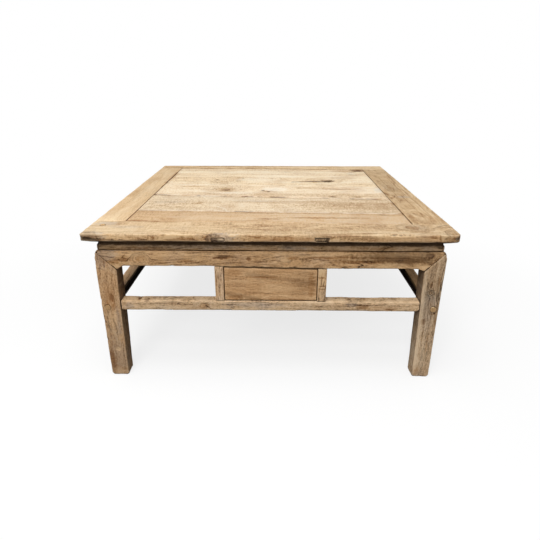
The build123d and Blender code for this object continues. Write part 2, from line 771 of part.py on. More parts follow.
def cut_runner_mortises():
    """Cut the mortises that take both ends of both runners."""
    reach = front_stretcher_back + rail_tenon_length + joint_gap
    for side_name in rail_places:
        block(tenon_limits(runner_limits(side_name), runner_tenon_width, joint_gap), (-reach, reach),
              (runner_tenon_top - rail_tenon_height - joint_gap, runner_tenon_top + joint_gap),
              mode=Mode.SUBTRACT)


for quarter, (label, (half_length, leg_face, setback)) in enumerate(stretcher_sides.items()):
    turn = 90 * quarter
    runs_across = label in ("stretcher_front", "stretcher_back")
    face = leg_face - setback
    tenon_bottom = stretcher_bottom if runs_across else high_tenon_bottom
    tenon_top = low_tenon_top if runs_across else high_tenon_top
    lower_end = leg_inner(half_length, stretcher_bottom) - joint_gap
    upper_end = leg_inner(half_length, stretcher_top) - joint_gap
    near_face, far_face = stretcher_tenon(setback, 0)
    with BuildPart() as stretcher:
        with BuildSketch(Plane.XZ.rotated((0, 0, turn)).offset(face)):
            Polygon((-lower_end, stretcher_bottom), (lower_end, stretcher_bottom),
                    (upper_end, stretcher_top), (-upper_end, stretcher_top))
        extrude(amount=-stretcher_thickness)
        outward = Vector(0, -1, 0).rotate(Axis.Z, turn)
        long_edges = stretcher.edges().filter_by(lambda edge: edge.length > upper_end)
        upper_pair = long_edges.group_by(Axis.Z)[-1].sort_by(lambda edge: edge.center().dot(outward))
        fillet(upper_pair[-1], stretcher_top_rounding)
        square_edges = stretcher.edges().filter_by(
            lambda edge: edge.length > upper_end
            and (edge.center().Z < stretcher_bottom + stretcher_rounding
                 or edge.center().dot(outward) < face - stretcher_thickness + stretcher_rounding))
        fillet(square_edges, stretcher_rounding)
        with BuildSketch(Plane.XY.rotated((0, 0, turn)).offset(tenon_bottom)):
            with Locations((0, -(leg_face - (near_face + far_face) / 2))):
                Rectangle(2 * (half_length - tenon_end_wall), far_face - near_face)
        extrude(amount=tenon_top - tenon_bottom)
        for side_x, side_y in corners.values():
            stretcher_pegs(side_x, side_y, joint_gap, Mode.SUBTRACT)
        if runs_across:
            cut_runner_mortises()
        if label == "stretcher_front":
            for side_name in rail_places:
                x_limits, y_limits = post_tenon_limits(side_name, joint_gap)
                block(x_limits, y_limits,
                      (stretcher_top - post_tenon_length - joint_gap, stretcher_top + past),
                      mode=Mode.SUBTRACT)
    save(stretcher, label)

# ---------------------------------------------------------------- drawer bay

# Each post stands on the front stretcher. Its foot is scribed over the stretcher's rounded
# arris, and its head follows the slope of the apron's lower edge.
post_face = -(body_y - post_setback)
post_back = post_face + post_depth
arris_centre_y = -(body_y - front_stretcher_setback - stretcher_top_rounding)
arris_centre_z = stretcher_top - stretcher_top_rounding
scribe_radius = stretcher_top_rounding + joint_gap
lip_z = arris_centre_z + (scribe_radius ** 2 - (arris_centre_y - post_face) ** 2) ** 0.5

for side_name, (edge, side) in rail_places.items():
    outer_x = edge + side * post_width
    x_limits, y_limits = post_tenon_limits(side_name, 0)
    with BuildPart() as post:
        with BuildSketch(Plane.YZ.offset(min(edge, outer_x))):
            with BuildLine():
                Polyline((post_face, lip_z), (post_face, apron_top), (post_back, apron_top),
                         (post_back, arris_centre_z + scribe_radius),
                         (arris_centre_y, arris_centre_z + scribe_radius))
                RadiusArc((arris_centre_y, arris_centre_z + scribe_radius), (post_face, lip_z),
                          -scribe_radius)
            make_face()
        extrude(amount=post_width)
        with BuildSketch(Plane.XZ.offset(-post_face + past)):
            Polygon((edge, underside_at(edge) - joint_gap), (outer_x, underside_at(outer_x) - joint_gap),
                    (outer_x, stretcher_bottom), (edge, stretcher_bottom))
        extrude(amount=-(post_depth + 2 * past), mode=Mode.INTERSECT)
        middle = sum(x_limits) / 2
        block(x_limits, y_limits,
              (stretcher_top - post_tenon_length, underside_at(middle) + post_tenon_length))
    save(post, f"drawer_post_{side_name}")

drawer_face = -(body_y - drawer_setback)
drawer_tail = drawer_face + drawer_length      # back ends of the drawer's sides
stop_front = drawer_tail + stop_gap

for side_name, (edge, side) in rail_places.items():
    runner_x = runner_limits(side_name)
    kicker_x = kicker_limits(side_name)
    runner_end = front_stretcher_back - joint_gap
    runner_reach = front_stretcher_back + rail_tenon_length
    with BuildPart() as runner:
        block(runner_x, (-runner_end, runner_end), (runner_top - runner_height, runner_top))
        block(tenon_limits(runner_x, runner_tenon_width, 0), (-runner_reach, runner_reach),
              (runner_tenon_top - rail_tenon_height, runner_tenon_top))
    save(runner, f"drawer_runner_{side_name}")

    with BuildPart() as guide:
        block((edge, edge + side * post_width),
              (post_back + joint_gap, stop_front + stop_length),
              (runner_top, runner_top + guide_height))
    save(guide, f"drawer_guide_{side_name}")

    kicker_end = body_y - apron_thickness - joint_gap
    kicker_reach = body_y - apron_thickness + rail_tenon_length
    with BuildPart() as kicker:
        block(kicker_x, (-kicker_end, kicker_end), (kicker_bottom, kicker_top))
        block(tenon_limits(kicker_x, kicker_tenon_width, 0), (-kicker_reach, kicker_reach),
              (kicker_top - kicker_tenon_drop - rail_tenon_height, kicker_top - kicker_tenon_drop))
    save(kicker, f"drawer_kicker_{side_name}")

with BuildPart() as stops:
    for edge, side in rail_places.values():
        block((edge - side * joint_gap, edge - side * ledge_reach),
              (stop_front, stop_front + stop_length), (runner_top, runner_top + stop_height))
save(stops, "drawer_stops")

# ---------------------------------------------------------------- drawer

drawer_left = bay_left + drawer_side_gap
drawer_right = bay_right - drawer_side_gap
drawer_front_back = drawer_face + drawer_front_thickness
side_bottom = runner_top + running_gap
side_top = side_bottom + drawer_side_height
bottom_panel_bottom = side_bottom + drawer_bottom_rise
bottom_panel_top = bottom_panel_bottom + drawer_bottom_thickness
drawer_inner_left = drawer_left + drawer_side_thickness
drawer_inner_right = drawer_right - drawer_side_thickness


def bottom_panel(margin, mode):
    """Add the drawer's bottom, or cut its groove."""
    block((drawer_inner_left - drawer_bottom_groove - margin,
           drawer_inner_right + drawer_bottom_groove + margin),
          (drawer_front_back - drawer_bottom_groove - margin, drawer_tail - drawer_back_inset / 2 + margin),
          (bottom_panel_bottom - margin, bottom_panel_top + margin), mode=mode)


def tails(x_limits, margin, mode):
    """Add the dovetail tails at the front of a drawer side, or cut their sockets."""
    pitch = drawer_side_height / tail_count
    with BuildSketch(Plane.YZ.offset(min(x_limits)), mode=Mode.PRIVATE) as outline:
        for number in range(tail_count):
            middle = side_bottom + pitch * (number + 0.5)
            neck = tail_neck / 2 + margin
            crown = tail_crown / 2 + margin
            Polygon((drawer_front_back + past, middle - neck), (drawer_front_back, middle - neck),
                    (drawer_front_back - tail_lap - margin, middle - crown),
                    (drawer_front_back - tail_lap - margin, middle + crown),
                    (drawer_front_back, middle + neck), (drawer_front_back + past, middle + neck))
    extrude(outline.sketch, amount=abs(x_limits[1] - x_limits[0]), mode=mode)


with BuildPart() as drawer_front:
    with BuildSketch(Plane.XZ.offset(-drawer_face)):
        Polygon((drawer_left, stretcher_top + drawer_foot_gap),
                (drawer_right, stretcher_top + drawer_foot_gap),
                (drawer_right, underside_at(drawer_right) - drawer_head_gap),
                (drawer_left, underside_at(drawer_left) - drawer_head_gap))
    extrude(amount=-drawer_front_thickness)
    chamfer(drawer_front.faces().sort_by(Axis.Y)[0].edges(), drawer_rounding)
    tails((drawer_left - joint_gap, drawer_inner_left + joint_gap), joint_gap, Mode.SUBTRACT)
    tails((drawer_inner_right - joint_gap, drawer_right + joint_gap), joint_gap, Mode.SUBTRACT)
    bottom_panel(joint_gap, Mode.SUBTRACT)
save(drawer_front, "drawer_front")

back_far = drawer_tail - drawer_back_inset
back_near = back_far - drawer_back_thickness
for label, x_limits in (("drawer_side_left", (drawer_left, drawer_inner_left)),
                        ("drawer_side_right", (drawer_inner_right, drawer_right))):
    with BuildPart() as drawer_side:
        block(x_limits, (drawer_front_back + joint_gap, drawer_tail), (side_bottom, side_top))
        tails(x_limits, 0, Mode.ADD)
        bottom_panel(joint_gap, Mode.SUBTRACT)
        block((drawer_inner_left - drawer_back_housing - joint_gap,
               drawer_inner_right + drawer_back_housing + joint_gap),
              (back_near - joint_gap, back_far + joint_gap), (bottom_panel_top, side_top + past),
              mode=Mode.SUBTRACT)
    save(drawer_side, label)

with BuildPart() as drawer_back:
    block((drawer_inner_left - drawer_back_housing, drawer_inner_right + drawer_back_housing),
          (back_near, back_far), (bottom_panel_top, side_top - drawer_back_drop))
save(drawer_back, "drawer_back")

with BuildPart() as drawer_bottom:
    bottom_panel(0, Mode.ADD)
save(drawer_bottom, "drawer_bottom")
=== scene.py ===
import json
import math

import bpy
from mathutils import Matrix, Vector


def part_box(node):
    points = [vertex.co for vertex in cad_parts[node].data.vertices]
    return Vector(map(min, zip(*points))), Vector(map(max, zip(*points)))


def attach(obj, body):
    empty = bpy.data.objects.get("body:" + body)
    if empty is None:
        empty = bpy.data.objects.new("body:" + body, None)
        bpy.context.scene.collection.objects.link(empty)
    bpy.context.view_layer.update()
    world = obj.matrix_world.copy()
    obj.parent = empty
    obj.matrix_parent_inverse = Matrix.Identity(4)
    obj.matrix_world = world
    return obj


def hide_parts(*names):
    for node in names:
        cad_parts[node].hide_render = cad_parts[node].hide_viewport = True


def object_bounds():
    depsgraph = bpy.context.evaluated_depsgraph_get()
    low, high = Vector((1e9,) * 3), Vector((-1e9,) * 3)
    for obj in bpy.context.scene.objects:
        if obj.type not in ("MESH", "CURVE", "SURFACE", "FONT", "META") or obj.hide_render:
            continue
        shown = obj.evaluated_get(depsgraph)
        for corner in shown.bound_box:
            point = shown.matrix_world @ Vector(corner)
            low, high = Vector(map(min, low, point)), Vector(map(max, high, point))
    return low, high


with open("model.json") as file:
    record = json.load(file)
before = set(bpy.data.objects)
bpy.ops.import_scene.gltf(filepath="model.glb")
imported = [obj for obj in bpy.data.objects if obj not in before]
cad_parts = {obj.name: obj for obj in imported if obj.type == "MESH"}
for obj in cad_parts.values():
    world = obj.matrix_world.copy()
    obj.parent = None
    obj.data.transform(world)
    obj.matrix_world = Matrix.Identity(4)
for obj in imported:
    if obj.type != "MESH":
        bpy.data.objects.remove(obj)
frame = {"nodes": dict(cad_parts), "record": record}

# %% [markdown]
# # An old elm kang table
# A kang table is a low table that stands on the heated brick bed of a north Chinese house.
# This one is elm, planed by hand, joined with tenons and pegs, and worn for some generations.
# The joinery comes from the CAD model, one node for each timber. What Blender adds is age:
# arrises worn round, planed faces that are never quite flat, splits, knots and faded colour.

cad_low, cad_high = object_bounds()
size = cad_high - cad_low
mm = 0.001
print("table", round(size.x, 3), "m wide and", round(size.z, 3), "m high")
print(len(frame["nodes"]), "timbers and peg sets")

# %% [markdown]
# ## Which way the grain runs
# A joiner always lays the grain along a timber's length, so each piece has one grain axis.
# Rails, boards, and the front and back aprons run left to right (X). The ends and the side pieces
# run front to back (Y), and so do the pegs that show on the front legs. Legs, posts, stops and the
# top's pegs stand on end (Z). Everything that follows, the wear and the colour, is stretched along
# that axis.

# %% Grain axis of every timber
def grain_axis(node):
    """The axis along which a timber's fibres run."""
    low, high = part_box(node)
    size = high - low
    if node.startswith("panel_board") or node == "drawer_bottom":
        return "X"
    if node == "stretcher_pegs":
        return "Y"
    if node in ("top_pegs", "drawer_stops"):
        return "Z"
    return "XYZ"[max(range(3), key=lambda i: size[i])]


def grain_scale(grain, along, across):
    """What to multiply a place by, to give noise one size along the grain and one across."""
    return tuple(1 / (along if axis == grain else across) for axis in "XYZ")


grains = {node: grain_axis(node) for node in frame["nodes"]}
print({axis: list(grains.values()).count(axis) for axis in "XYZ"})

# %% [markdown]
# ## Short names for nodes
# Both the wear and the finishes are node trees, and a tree written out in full is hard to read.
# This small class gives each common node a one-word name. Every method returns the socket that
# the next node reads, and takes either a socket or a plain number.

# %% A helper that writes node trees
class Tree:
    """Adds nodes to a shader or geometry tree and links them as it goes."""

    def __init__(self, tree):
        self.tree = tree

    def add(self, kind, values=(), **settings):
        """One node: its settings, then its inputs by index or name."""
        node = self.tree.nodes.new(kind)
        for key, value in settings.items():
            setattr(node, key, value)
        for key, value in dict(values).items():
            if value is None:
                continue
            if isinstance(value, bpy.types.NodeSocket):
                self.tree.links.new(value, node.inputs[key])
            else:
                node.inputs[key].default_value = value
        return node

    def math(self, operation, a, b=None, c=None):
        return self.add("ShaderNodeMath", {0: a, 1: b, 2: c}, operation=operation).outputs[0]

    def times(self, a, b):
        return self.math("MULTIPLY", a, b)

    def times_plus(self, a, b, c):
        return self.math("MULTIPLY_ADD", a, b, c)

    def minus(self, a, b):
        return self.math("SUBTRACT", a, b)

    def vector(self, operation, a, b):
        return self.add("ShaderNodeVectorMath", {0: a, 1: b}, operation=operation).outputs[0]

    def length(self, a):
        return self.add("ShaderNodeVectorMath", {0: a}, operation="LENGTH").outputs["Value"]

    def scaled(self, a, factor):
        return self.add("ShaderNodeVectorMath", {0: a, "Scale": factor}, operation="SCALE").outputs[0]

    def dot(self, a, b):
        return self.add("ShaderNodeVectorMath", {0: a, 1: b}, operation="DOT_PRODUCT").outputs["Value"]

    def join(self, x, y, z):
        return self.add("ShaderNodeCombineXYZ", {0: x, 1: y, 2: z}).outputs[0]

    def split(self, vector):
        return tuple(self.add("ShaderNodeSeparateXYZ", {0: vector}).outputs)

    def noise(self, vector, detail, roughness=0.5):
        values = {"Vector": vector, "Scale": 1.0, "Detail": detail, "Roughness": roughness}
        return self.add("ShaderNodeTexNoise", values).outputs[0]

    def clouds(self, place, size, detail, roughness=0.5):
        """Noise in clouds of about one size in millimetres."""
        return self.noise(self.scaled(place, 1 / size), detail, roughness)

    def step(self, value, start, end):
        """A smooth step from 0 at start to 1 at end. start may be above end."""
        values = {"Value": value, "From Min": start, "From Max": end}
        return self.add("ShaderNodeMapRange", values, interpolation_type="SMOOTHSTEP").outputs[0]

    def mix(self, factor, a, b):
        return self.add("ShaderNodeMix", {0: factor, 2: a, 3: b}, data_type="FLOAT").outputs[0]

    def mix_vector(self, factor, a, b):
        return self.add("ShaderNodeMix", {0: factor, 4: a, 5: b}, data_type="VECTOR").outputs[1]

    def colour(self, factor, a, b, blend="MIX"):
        node = self.add("ShaderNodeMix", {0: factor, 6: a, 7: b}, data_type="RGBA", blend_type=blend)
        return node.outputs[2]

    def faded(self, factor, colour):
        """The colour bleached and greyed by light and dust."""
        values = {"Saturation": 0.66, "Value": 0.80, "Color": colour}
        values["Fac"] = self.math("MINIMUM", factor, 1.0)
        return self.add("ShaderNodeHueSaturation", values).outputs[0]


def fresh_tree(owner):
    """The emptied node tree of a material or of the world."""
    owner.use_nodes = True
    owner.node_tree.nodes.clear()
    return Tree(owner.node_tree)


print("node helper ready")

# %% [markdown]
# ## Marks
# Knots, stains, splits and dents are what tell one old timber from another. Each is written once,
# in millimetres in the table's own frame, and is used twice: its depth pushes the surface in, and
# its tone tints the wood. A mark is an ellipse or a line with a ragged border. It runs right
# through the timber along the axis where its size is None. Stain, knot, grey, pale, orange, shade,
# split and scratch are tones, and one more tone is the painted shadow under the overhang. Two kinds
# only change the wear: worn rounds a corner off, and kept holds an arris as sharp as it was cut.

# %% What a mark is
through = 4000.0  # a size so large that the mark runs through the timber


def mark(kind, at, size, strength, depth=0.0):
    """A patch of one kind, which may lie deeper than its surroundings."""
    size = tuple(through if s is None else s for s in size)
    at = tuple(0.0 if a is None else a for a in at)
    return {"kind": kind, "at": at, "size": size, "strength": strength, "depth": depth}


def top(kind, x, y, reach_x, reach_y, strength, depth=0.0):
    """A patch of the top, placed in plan."""
    return mark(kind, (x, y, None), (reach_x, reach_y, None), strength, depth)


def front(kind, x, z, reach_x, reach_z, strength, depth=0.0):
    """A patch of the front, placed by X and height."""
    return mark(kind, (x, None, z), (reach_x, None, reach_z), strength, depth)


def line(a, b, width, strength, kind="split"):
    """A line from a to b: a split, a scratch or a border."""
    return {"kind": kind, "a": a, "b": b, "width": width, "strength": strength, "depth": 0.0}


print("a stain:", top("stain", 0, 0, 30, 20, 0.5))

# %% [markdown]
# The marks of the top lie in plan, so their height is left open. Those of the front are placed
# by X and Z, and run into the timber along Y.

# %% Where the faces lie
top_z = 458.0  # upper face of the top, in millimetres
front_y = -500.0  # front edge of the top
leg_y = -479.0  # front faces of the legs and the apron
marks = {}
print("top", top_z, "mm up, overhang", leg_y - front_y, "mm")

# %% Marks of the panel boards
marks["panel_board_4"] = [
    top("stain", 216, 167, 34, 28, 0.95, 1.2),
    top("knot", 214, 167, 60, 40, 0.6),
    top("stain", 170, 160, 60, 12, 0.6),
    line((81, 148, top_z), (200, 162, top_z), 6.5, 0.65),
    top("stain", 150, 140, 60, 10, 0.35),
    top("stain", 374, 386, 44, 30, 0.85, 1.5),
    top("orange", 300, 370, 70, 30, 0.4),
    top("stain", 345, 352, 22, 14, 0.5),
    top("grey", 337, 314, 30, 26, 0.5, 0.6),
    top("stain", -218, 182, 16, 12, 0.6),
    top("stain", -300, 140, 40, 10, 0.3),
    top("pale", -60, 190, 120, 40, 0.5),
    top("knot", -185, 150, 48, 30, 0.4),
    top("pale", 30, 250, 150, 40, 0.4),
    top("orange", 290, 230, 80, 40, 0.3),
]
marks["panel_board_3"] = [
    top("knot", -169, 18, 48, 34, 0.6),
    top("stain", -160, 4, 22, 12, 0.4),
    top("stain", 210, -91, 18, 11, 0.85, 0.5),
    top("stain", 294, -92, 26, 10, 0.6),
    top("stain", -30, 2, 9, 10, 0.7),
    top("pale", 15, 20, 70, 40, 0.7),
    top("pale", -130, -40, 90, 20, 0.5),
    top("orange", 245, 26, 90, 16, 0.5),
    top("stain", 250, 22, 60, 7, 0.35),
    top("stain", -290, 60, 60, 10, 0.35),
    top("grey", 388, 8, 20, 50, 0.5),
    top("stain", -10, -14, 8, 9, 0.55),
    line((-32, -2, top_z), (-13, -20, top_z), 4.0, 0.45),
    line((-13, -20, top_z), (1, 3, top_z), 3.0, 0.4),
    line((1, 3, top_z), (19, 38, top_z), 3.4, 0.45),
    top("orange", -4, -6, 40, 34, 0.35),
    top("stain", 22, 18, 12, 7, 0.4),
]
marks["panel_board_2"] = [
    top("stain", 160, -150, 60, 9, 0.3),
    top("orange", 60, -165, 260, 22, 0.3),
    top("grey", -330, -170, 70, 30, 0.3),
    top("grey", -60, -150, 90, 20, 0.3),
    top("stain", -240, -185, 26, 9, 0.4),
    top("stain", -89, -281, 40, 7, 0.85, 1.6),
    top("orange", -60, -288, 80, 10, 0.6),
    line((-200, -205, top_z), (-168, -222, top_z), 3.0, 0.5, "scratch"),
    line((-168, -222, top_z), (-142, -252, top_z), 3.0, 0.6, "scratch"),
    line((-142, -252, top_z), (-130, -290, top_z), 3.0, 0.5, "scratch"),
]
marks["panel_board_1"] = [
    top("stain", -5, -358, 22, 9, 0.6),
    top("orange", -5, -358, 60, 14, 0.5),
    top("stain", 150, -345, 190, 10, 0.45),
    top("pale", -60, -308, 420, 14, 0.35),
    top("pale", -220, -345, 120, 25, 0.35),
    top("stain", -60, -375, 110, 8, 0.3),
]
print(len(marks), "timbers marked")

# %% Marks of the top's frame
marks["top_front_rail"] = [
    mark("kept", (-137, front_y, 441), (30, 14, 10), 1.0),
    mark("stain", (-134, front_y, 457), (44, 12, 8), 0.4, 2.6),
    mark("stain", (-150, front_y, 446), (34, 20, 20), 0.55),
    mark("grey", (-128, front_y, 448), (60, 24, 20), 1.2),
    mark("pale", (-100, front_y, 455), (14, 12, 6), 0.85),
    mark("pale", (-120, front_y, 458), (12, 10, 5), 0.8),
    mark("stain", (322, front_y, top_z), (14, 9, 5), 1.0, 2.0),
    mark("stain", (344, front_y, top_z), (18, 8, 5), 1.0, 1.6),
    mark("stain", (368, front_y, top_z), (12, 7, 4), 1.0, 1.6),
    mark("stain", (-90, front_y, top_z), (9, 4, 3), 0.7, 1.2),
    top("knot", 388, -436, 30, 26, 0.35),
    top("grey", 392, -432, 46, 30, 0.25),
    mark("knot", (482, -488, 450), (20, 20, 16), 0.8, 0.8),
    mark("stain", (488, -494, 447), (9, 12, 7), 0.8),
    mark("pale", (470, -490, 452), (12, 14, 8), 0.6),
    top("grey", -455, -405, 40, 26, 0.6, 0.8),
    top("grey", -395, -438, 70, 22, 0.35),
    top("stain", -464, -420, 11, 11, 0.75),
    top("stain", -300, -392, 60, 6, 0.4),
    top("pale", -420, -470, 60, 18, 0.4),
    mark("stain", (-490, front_y, 441), (34, 40, 12), 0.8, 1.0),
    mark("stain", (-440, front_y, 439), (60, 40, 7), 0.6),
    mark("stain", (-360, front_y, 438), (90, 40, 6), 0.5),
    mark("stain", (-230, front_y, 440), (70, 40, 7), 0.55),
    mark("grey", (-474, front_y, 448), (60, 40, 20), 0.9),
    mark("stain", (-484, front_y, 444), (44, 40, 22), 0.52),
    mark("orange", (40, front_y, 444), (120, 40, 8), 0.35),
    mark("pale", (300, front_y, 448), (130, 40, 7), 0.35),
    mark("stain", (420, front_y, 438), (90, 40, 5), 0.35),
    mark("orange", (330, front_y, 446), (90, 40, 8), 0.3),
    line((118.5, front_y, 436), (118.5, front_y, 447.5), 1.9, 1.0),
    line((118.5, front_y, 447.5), (155.5, front_y, 447.5), 1.9, 1.0),
    line((155.5, front_y, 447.5), (155.5, front_y, 437), 1.7, 0.95),
]
marks["top_right_end"] = [
    top("grey", 451, -87, 34, 18, 0.65),
    top("stain", 405, -45, 8, 30, 0.55, 1.6),
    top("stain", 408, -100, 7, 18, 0.5, 1.4),
    top("stain", 414, -330, 10, 24, 0.45, 1.0),
    line((408, -60, top_z), (425, -75, top_z), 3.0, 0.6),
    line((425, -75, top_z), (417, -100, top_z), 3.0, 0.5),
    line((440, -10, top_z), (452, 60, top_z), 2.6, 0.45),
    line((472, -330, top_z), (482, 290, top_z), 1.6, 0.5),
    line((464, -90, top_z), (468, 200, top_z), 1.4, 0.45),
    line((432, -140, top_z), (436, 250, top_z), 1.5, 0.4),
    line((448, -360, top_z), (451, -60, top_z), 1.5, 0.45),
    line((488, -250, top_z), (492, 120, top_z), 1.4, 0.35),
    top("knot", 440, 70, 14, 60, 0.25),
]
marks["top_left_end"] = [
    top("pale", -455, 0, 16, 260, 0.35),
    top("stain", -408, 60, 5, 40, 0.6, 1.4),
    top("stain", -407, 150, 4, 26, 0.6, 1.2),
]
marks["top_back_rail"] = [
    top("stain", 250, 470, 30, 6, 0.5),
    top("stain", -380, 440, 40, 8, 0.45),
    top("pale", 60, 460, 240, 14, 0.4),
]
marks["batten_left"] = [
    mark("stain", (-149, front_y, 444), (20, 30, 22), 0.65),
    mark("grey", (-140, front_y, 444), (40, 30, 30), 1.0),
    mark("pale", (-124, front_y, 447), (18, 30, 10), 0.55),
    mark("kept", (-137, front_y, 442), (60, 30, 30), 1.0),
]
marks["batten_right"] = [
    mark("shade", (137, front_y, 442), (60, 30, 30), 0.7),
    mark("kept", (137, front_y, 442), (60, 30, 30), 1.0),
]
print(len(marks), "timbers marked")

# %% Marks of the apron and the waist
marks["apron_front"] = [
    front("shade", 335, 386, 150, 24, 1.0),
    front("shade", 385, 376, 80, 16, 0.5),
    front("stain", 330, 386, 110, 5, 0.25),
    front("stain", -456, 384, 30, 20, 0.25),
    front("grey", -446, 388, 40, 22, 0.7),
    front("stain", -425, 372, 22, 8, 0.4),
    dict(line((-455, leg_y, 401), (455, leg_y, 401), 3.0, 0.6, "scratch"), patchy=True),
    # painted highlights: the pale patches at both ends and the pale line at the right end stand for
    # small lit facets under the apron's ends
    front("pale", 426, 356, 18, 7, 0.8),
    front("pale", -426, 356, 18, 7, 0.6),
    line((402, leg_y, 363), (440, leg_y, 363), 1.6, 0.8, "scratch"),
    line((440, leg_y, 363), (466, leg_y, 394), 1.3, 0.6, "scratch"),
    front("knot", -354, 379, 17, 12, 0.5, 0.6),
    front("pale", -352, 379, 8, 5, 0.5),
    line((-382, leg_y, 404), (-402, leg_y, 383), 1.4, 0.45),
    line((-402, leg_y, 383), (-364, leg_y, 371), 1.2, 0.4),
    front("stain", -398, 380, 20, 12, 0.45),
    front("pale", -372, 390, 24, 6, 0.4),
    front("stain", -128, 386, 34, 9, 0.8, 0.8),
    front("stain", -58, 380, 10, 8, 0.6, 0.8),
    front("stain", -230, 374, 26, 7, 0.35),
    front("pale", 15, 372, 9, 5, 0.8),
    front("pale", 42, 376, 14, 5, 0.7),
    front("stain", 62, 385, 20, 6, 0.45),
    front("stain", 165, 386, 90, 6, 0.55),
    front("stain", 250, 372, 90, 8, 0.45),
    front("knot", 432, 391, 16, 11, 0.7, 0.5),
    front("pale", 330, 366, 60, 6, 0.35),
]
marks["waist_front"] = [
    front("grey", -190, 412, 180, 8, 0.5),
    front("grey", 60, 410, 60, 8, 0.5),
    line((264, -470, 403), (277, -470, 418), 2.2, 1.0, "scratch"),
    front("stain", -330, 408, 60, 5, 0.35),
    front("stain", 300, 409, 80, 5, 0.3),
]
print(len(marks), "timbers marked")

# %% Marks of the front legs and the pegs
marks["leg_front_left"] = [
    front("grey", -462, 376, 30, 34, 0.6, 0.5),
    front("stain", -466, 378, 26, 28, 0.2),
    mark("kept", (-461, leg_y, 231.5), (18, 20, 18), 1.0),
    front("grey", -450, 60, 40, 90, 0.45),
    front("shade", -450, 90, 60, 110, 0.3),
    front("stain", -470, 40, 14, 60, 0.45),
    front("pale", -452, 180, 20, 50, 0.3),
    front("stain", -447, 372, 14, 10, 0.3),
    front("stain", -446, 262, 9, 16, 0.55),
    line((-474, leg_y, 240), (-468, leg_y, 224), 2.0, 0.7, "scratch"),
    line((-452, leg_y, 244), (-456, leg_y, 218), 1.6, 0.5, "scratch"),
    front("orange", -452, 262, 20, 44, 0.55),
    front("orange", -456, 232, 24, 20, 0.5),
    front("stain", -450, 388, 20, 12, 0.2),
    front("grey", -436, 185, 10, 60, 0.5),
    front("pale", -448, 92, 12, 9, 0.65, 0.8),
    front("stain", -440, 22, 14, 10, 0.35),
    front("orange", -470, 60, 8, 50, 0.5),
    front("pale", -455, 12, 30, 22, 0.3),
    line((-429, leg_y, 330), (-431, leg_y, 250), 1.3, 0.55),
]
marks["leg_front_right"] = [
    mark("kept", (461, leg_y, 231.5), (18, 20, 18), 1.0),
    # painted shadow: a dark patch on the leg just below and right of the peg
    front("stain", 464, 226, 13, 12, 0.6),
    line((428, leg_y, 335), (433, leg_y, 30), 5.0, 0.45, "scratch"),
    front("stain", 446, 306, 6, 14, 0.5),
    front("stain", 467, 318, 4, 20, 0.42),
    front("stain", 476, 262, 4, 10, 0.63),
    front("knot", 447, 282, 8, 9, 0.56, 0.5),
    front("grey", 446, 220, 26, 90, 0.4),
    front("shade", 455, 270, 60, 130, 0.35),
    front("stain", 437, 190, 10, 14, 0.39),
    front("stain", 474, 190, 6, 22, 0.49),
    front("stain", 462, 215, 11, 5, 0.42),
    front("pale", 432, 120, 4, 90, 0.5),
    front("pale", 450, 70, 18, 60, 0.35),
    front("stain", 458, 110, 3, 50, 0.45),
    front("orange", 438, 20, 14, 22, 0.5),
    line((455, leg_y, 370), (452, leg_y, 240), 1.3, 0.42),
    line((440, leg_y, 200), (443, leg_y, 60), 1.2, 0.5),
]
marks["stretcher_pegs"] = [
    front("shade", -461, 231.5, 40, 40, 0.3),
    front("orange", -461, 231.5, 40, 40, 0.55),
    front("orange", 461, 230, 24, 24, 0.4),
    front("shade", 461, 230, 24, 24, 0.35),
    # painted highlight on the upper rim of the right peg
    front("pale", 455, 238, 7, 4, 0.9),
]
print(len(marks), "timbers marked")

# %% Marks of the stretcher and the drawer's bay
marks["stretcher_front"] = [
    front("stain", -372, 252, 8, 4, 0.5, 1.0),
    front("grey", -398, 236, 16, 14, 0.5),
    front("knot", -186, 236, 24, 14, 0.65, 0.4),
    line((-182, -478, 238), (-168, -478, 228), 2.0, 0.9),
    front("grey", -40, 240, 110, 12, 0.55),
    front("stain", 262, 236, 24, 10, 0.55),
    front("grey", 230, 242, 24, 8, 0.5),
    front("orange", 320, 232, 60, 8, 0.4),
    front("stain", 270, 253, 60, 3, 0.5, 1.6),
    front("stain", 340, 228, 18, 5, 0.5),
]
marks["drawer_front"] = [
    front("stain", -100, 262, 44, 10, 0.25),
    front("stain", 20, 256, 150, 5, 0.3),
    front("stain", -100, 340, 30, 16, 0.25),
    line((-60, -476, 332), (125, -476, 308), 9.0, 0.35, "shade"),
    line((-126, -476, 276), (-30, -476, 256), 9.0, 0.5, "shade"),
    front("shade", 100, 312, 60, 50, 0.3),
    front("stain", -20, 326, 80, 5, 0.3),
    front("orange", 60, 345, 60, 8, 0.3),
    front("pale", 20, 290, 70, 20, 0.3),
    front("stain", 115, 300, 12, 50, 0.3),
]
marks["drawer_post_right"] = [
    front("stain", 145, 325, 12, 4, 0.6),
    front("stain", 146, 300, 12, 3, 0.7),
    front("stain", 145, 290, 12, 3, 0.5),
]
marks["drawer_post_left"] = [
    front("stain", -149, 300, 3, 60, 0.4),
]
print(len(marks), "timbers marked")

# %% [markdown]
# Joints need marks too. Dirt gathers in them, and both timbers of a joint share it, so these marks
# are worked out from the corners of the boards and given to both.

# %% One mark on several timbers
def add_mark(nodes, m):
    """Give one mark to several timbers."""
    for node in nodes:
        marks.setdefault(node, []).append(m)


print(sum(len(m) for m in marks.values()), "marks so far")

# %% Seams of the top
def top_corner(node, side, end):
    """A corner of a board's top face in millimetres. side and end are -1 or 1."""
    skin, outer_part = 3, 300
    points = [vertex.co / mm for vertex in frame["nodes"][node].data.vertices]
    points = [p for p in points if p.z > top_z - skin and p.x * side > outer_part]
    return tuple(max(points, key=lambda p: p.y * end))


def between(a, b, share):
    """The point at a share of the way from a to b."""
    return tuple(p + (q - p) * share for p, q in zip(a, b))


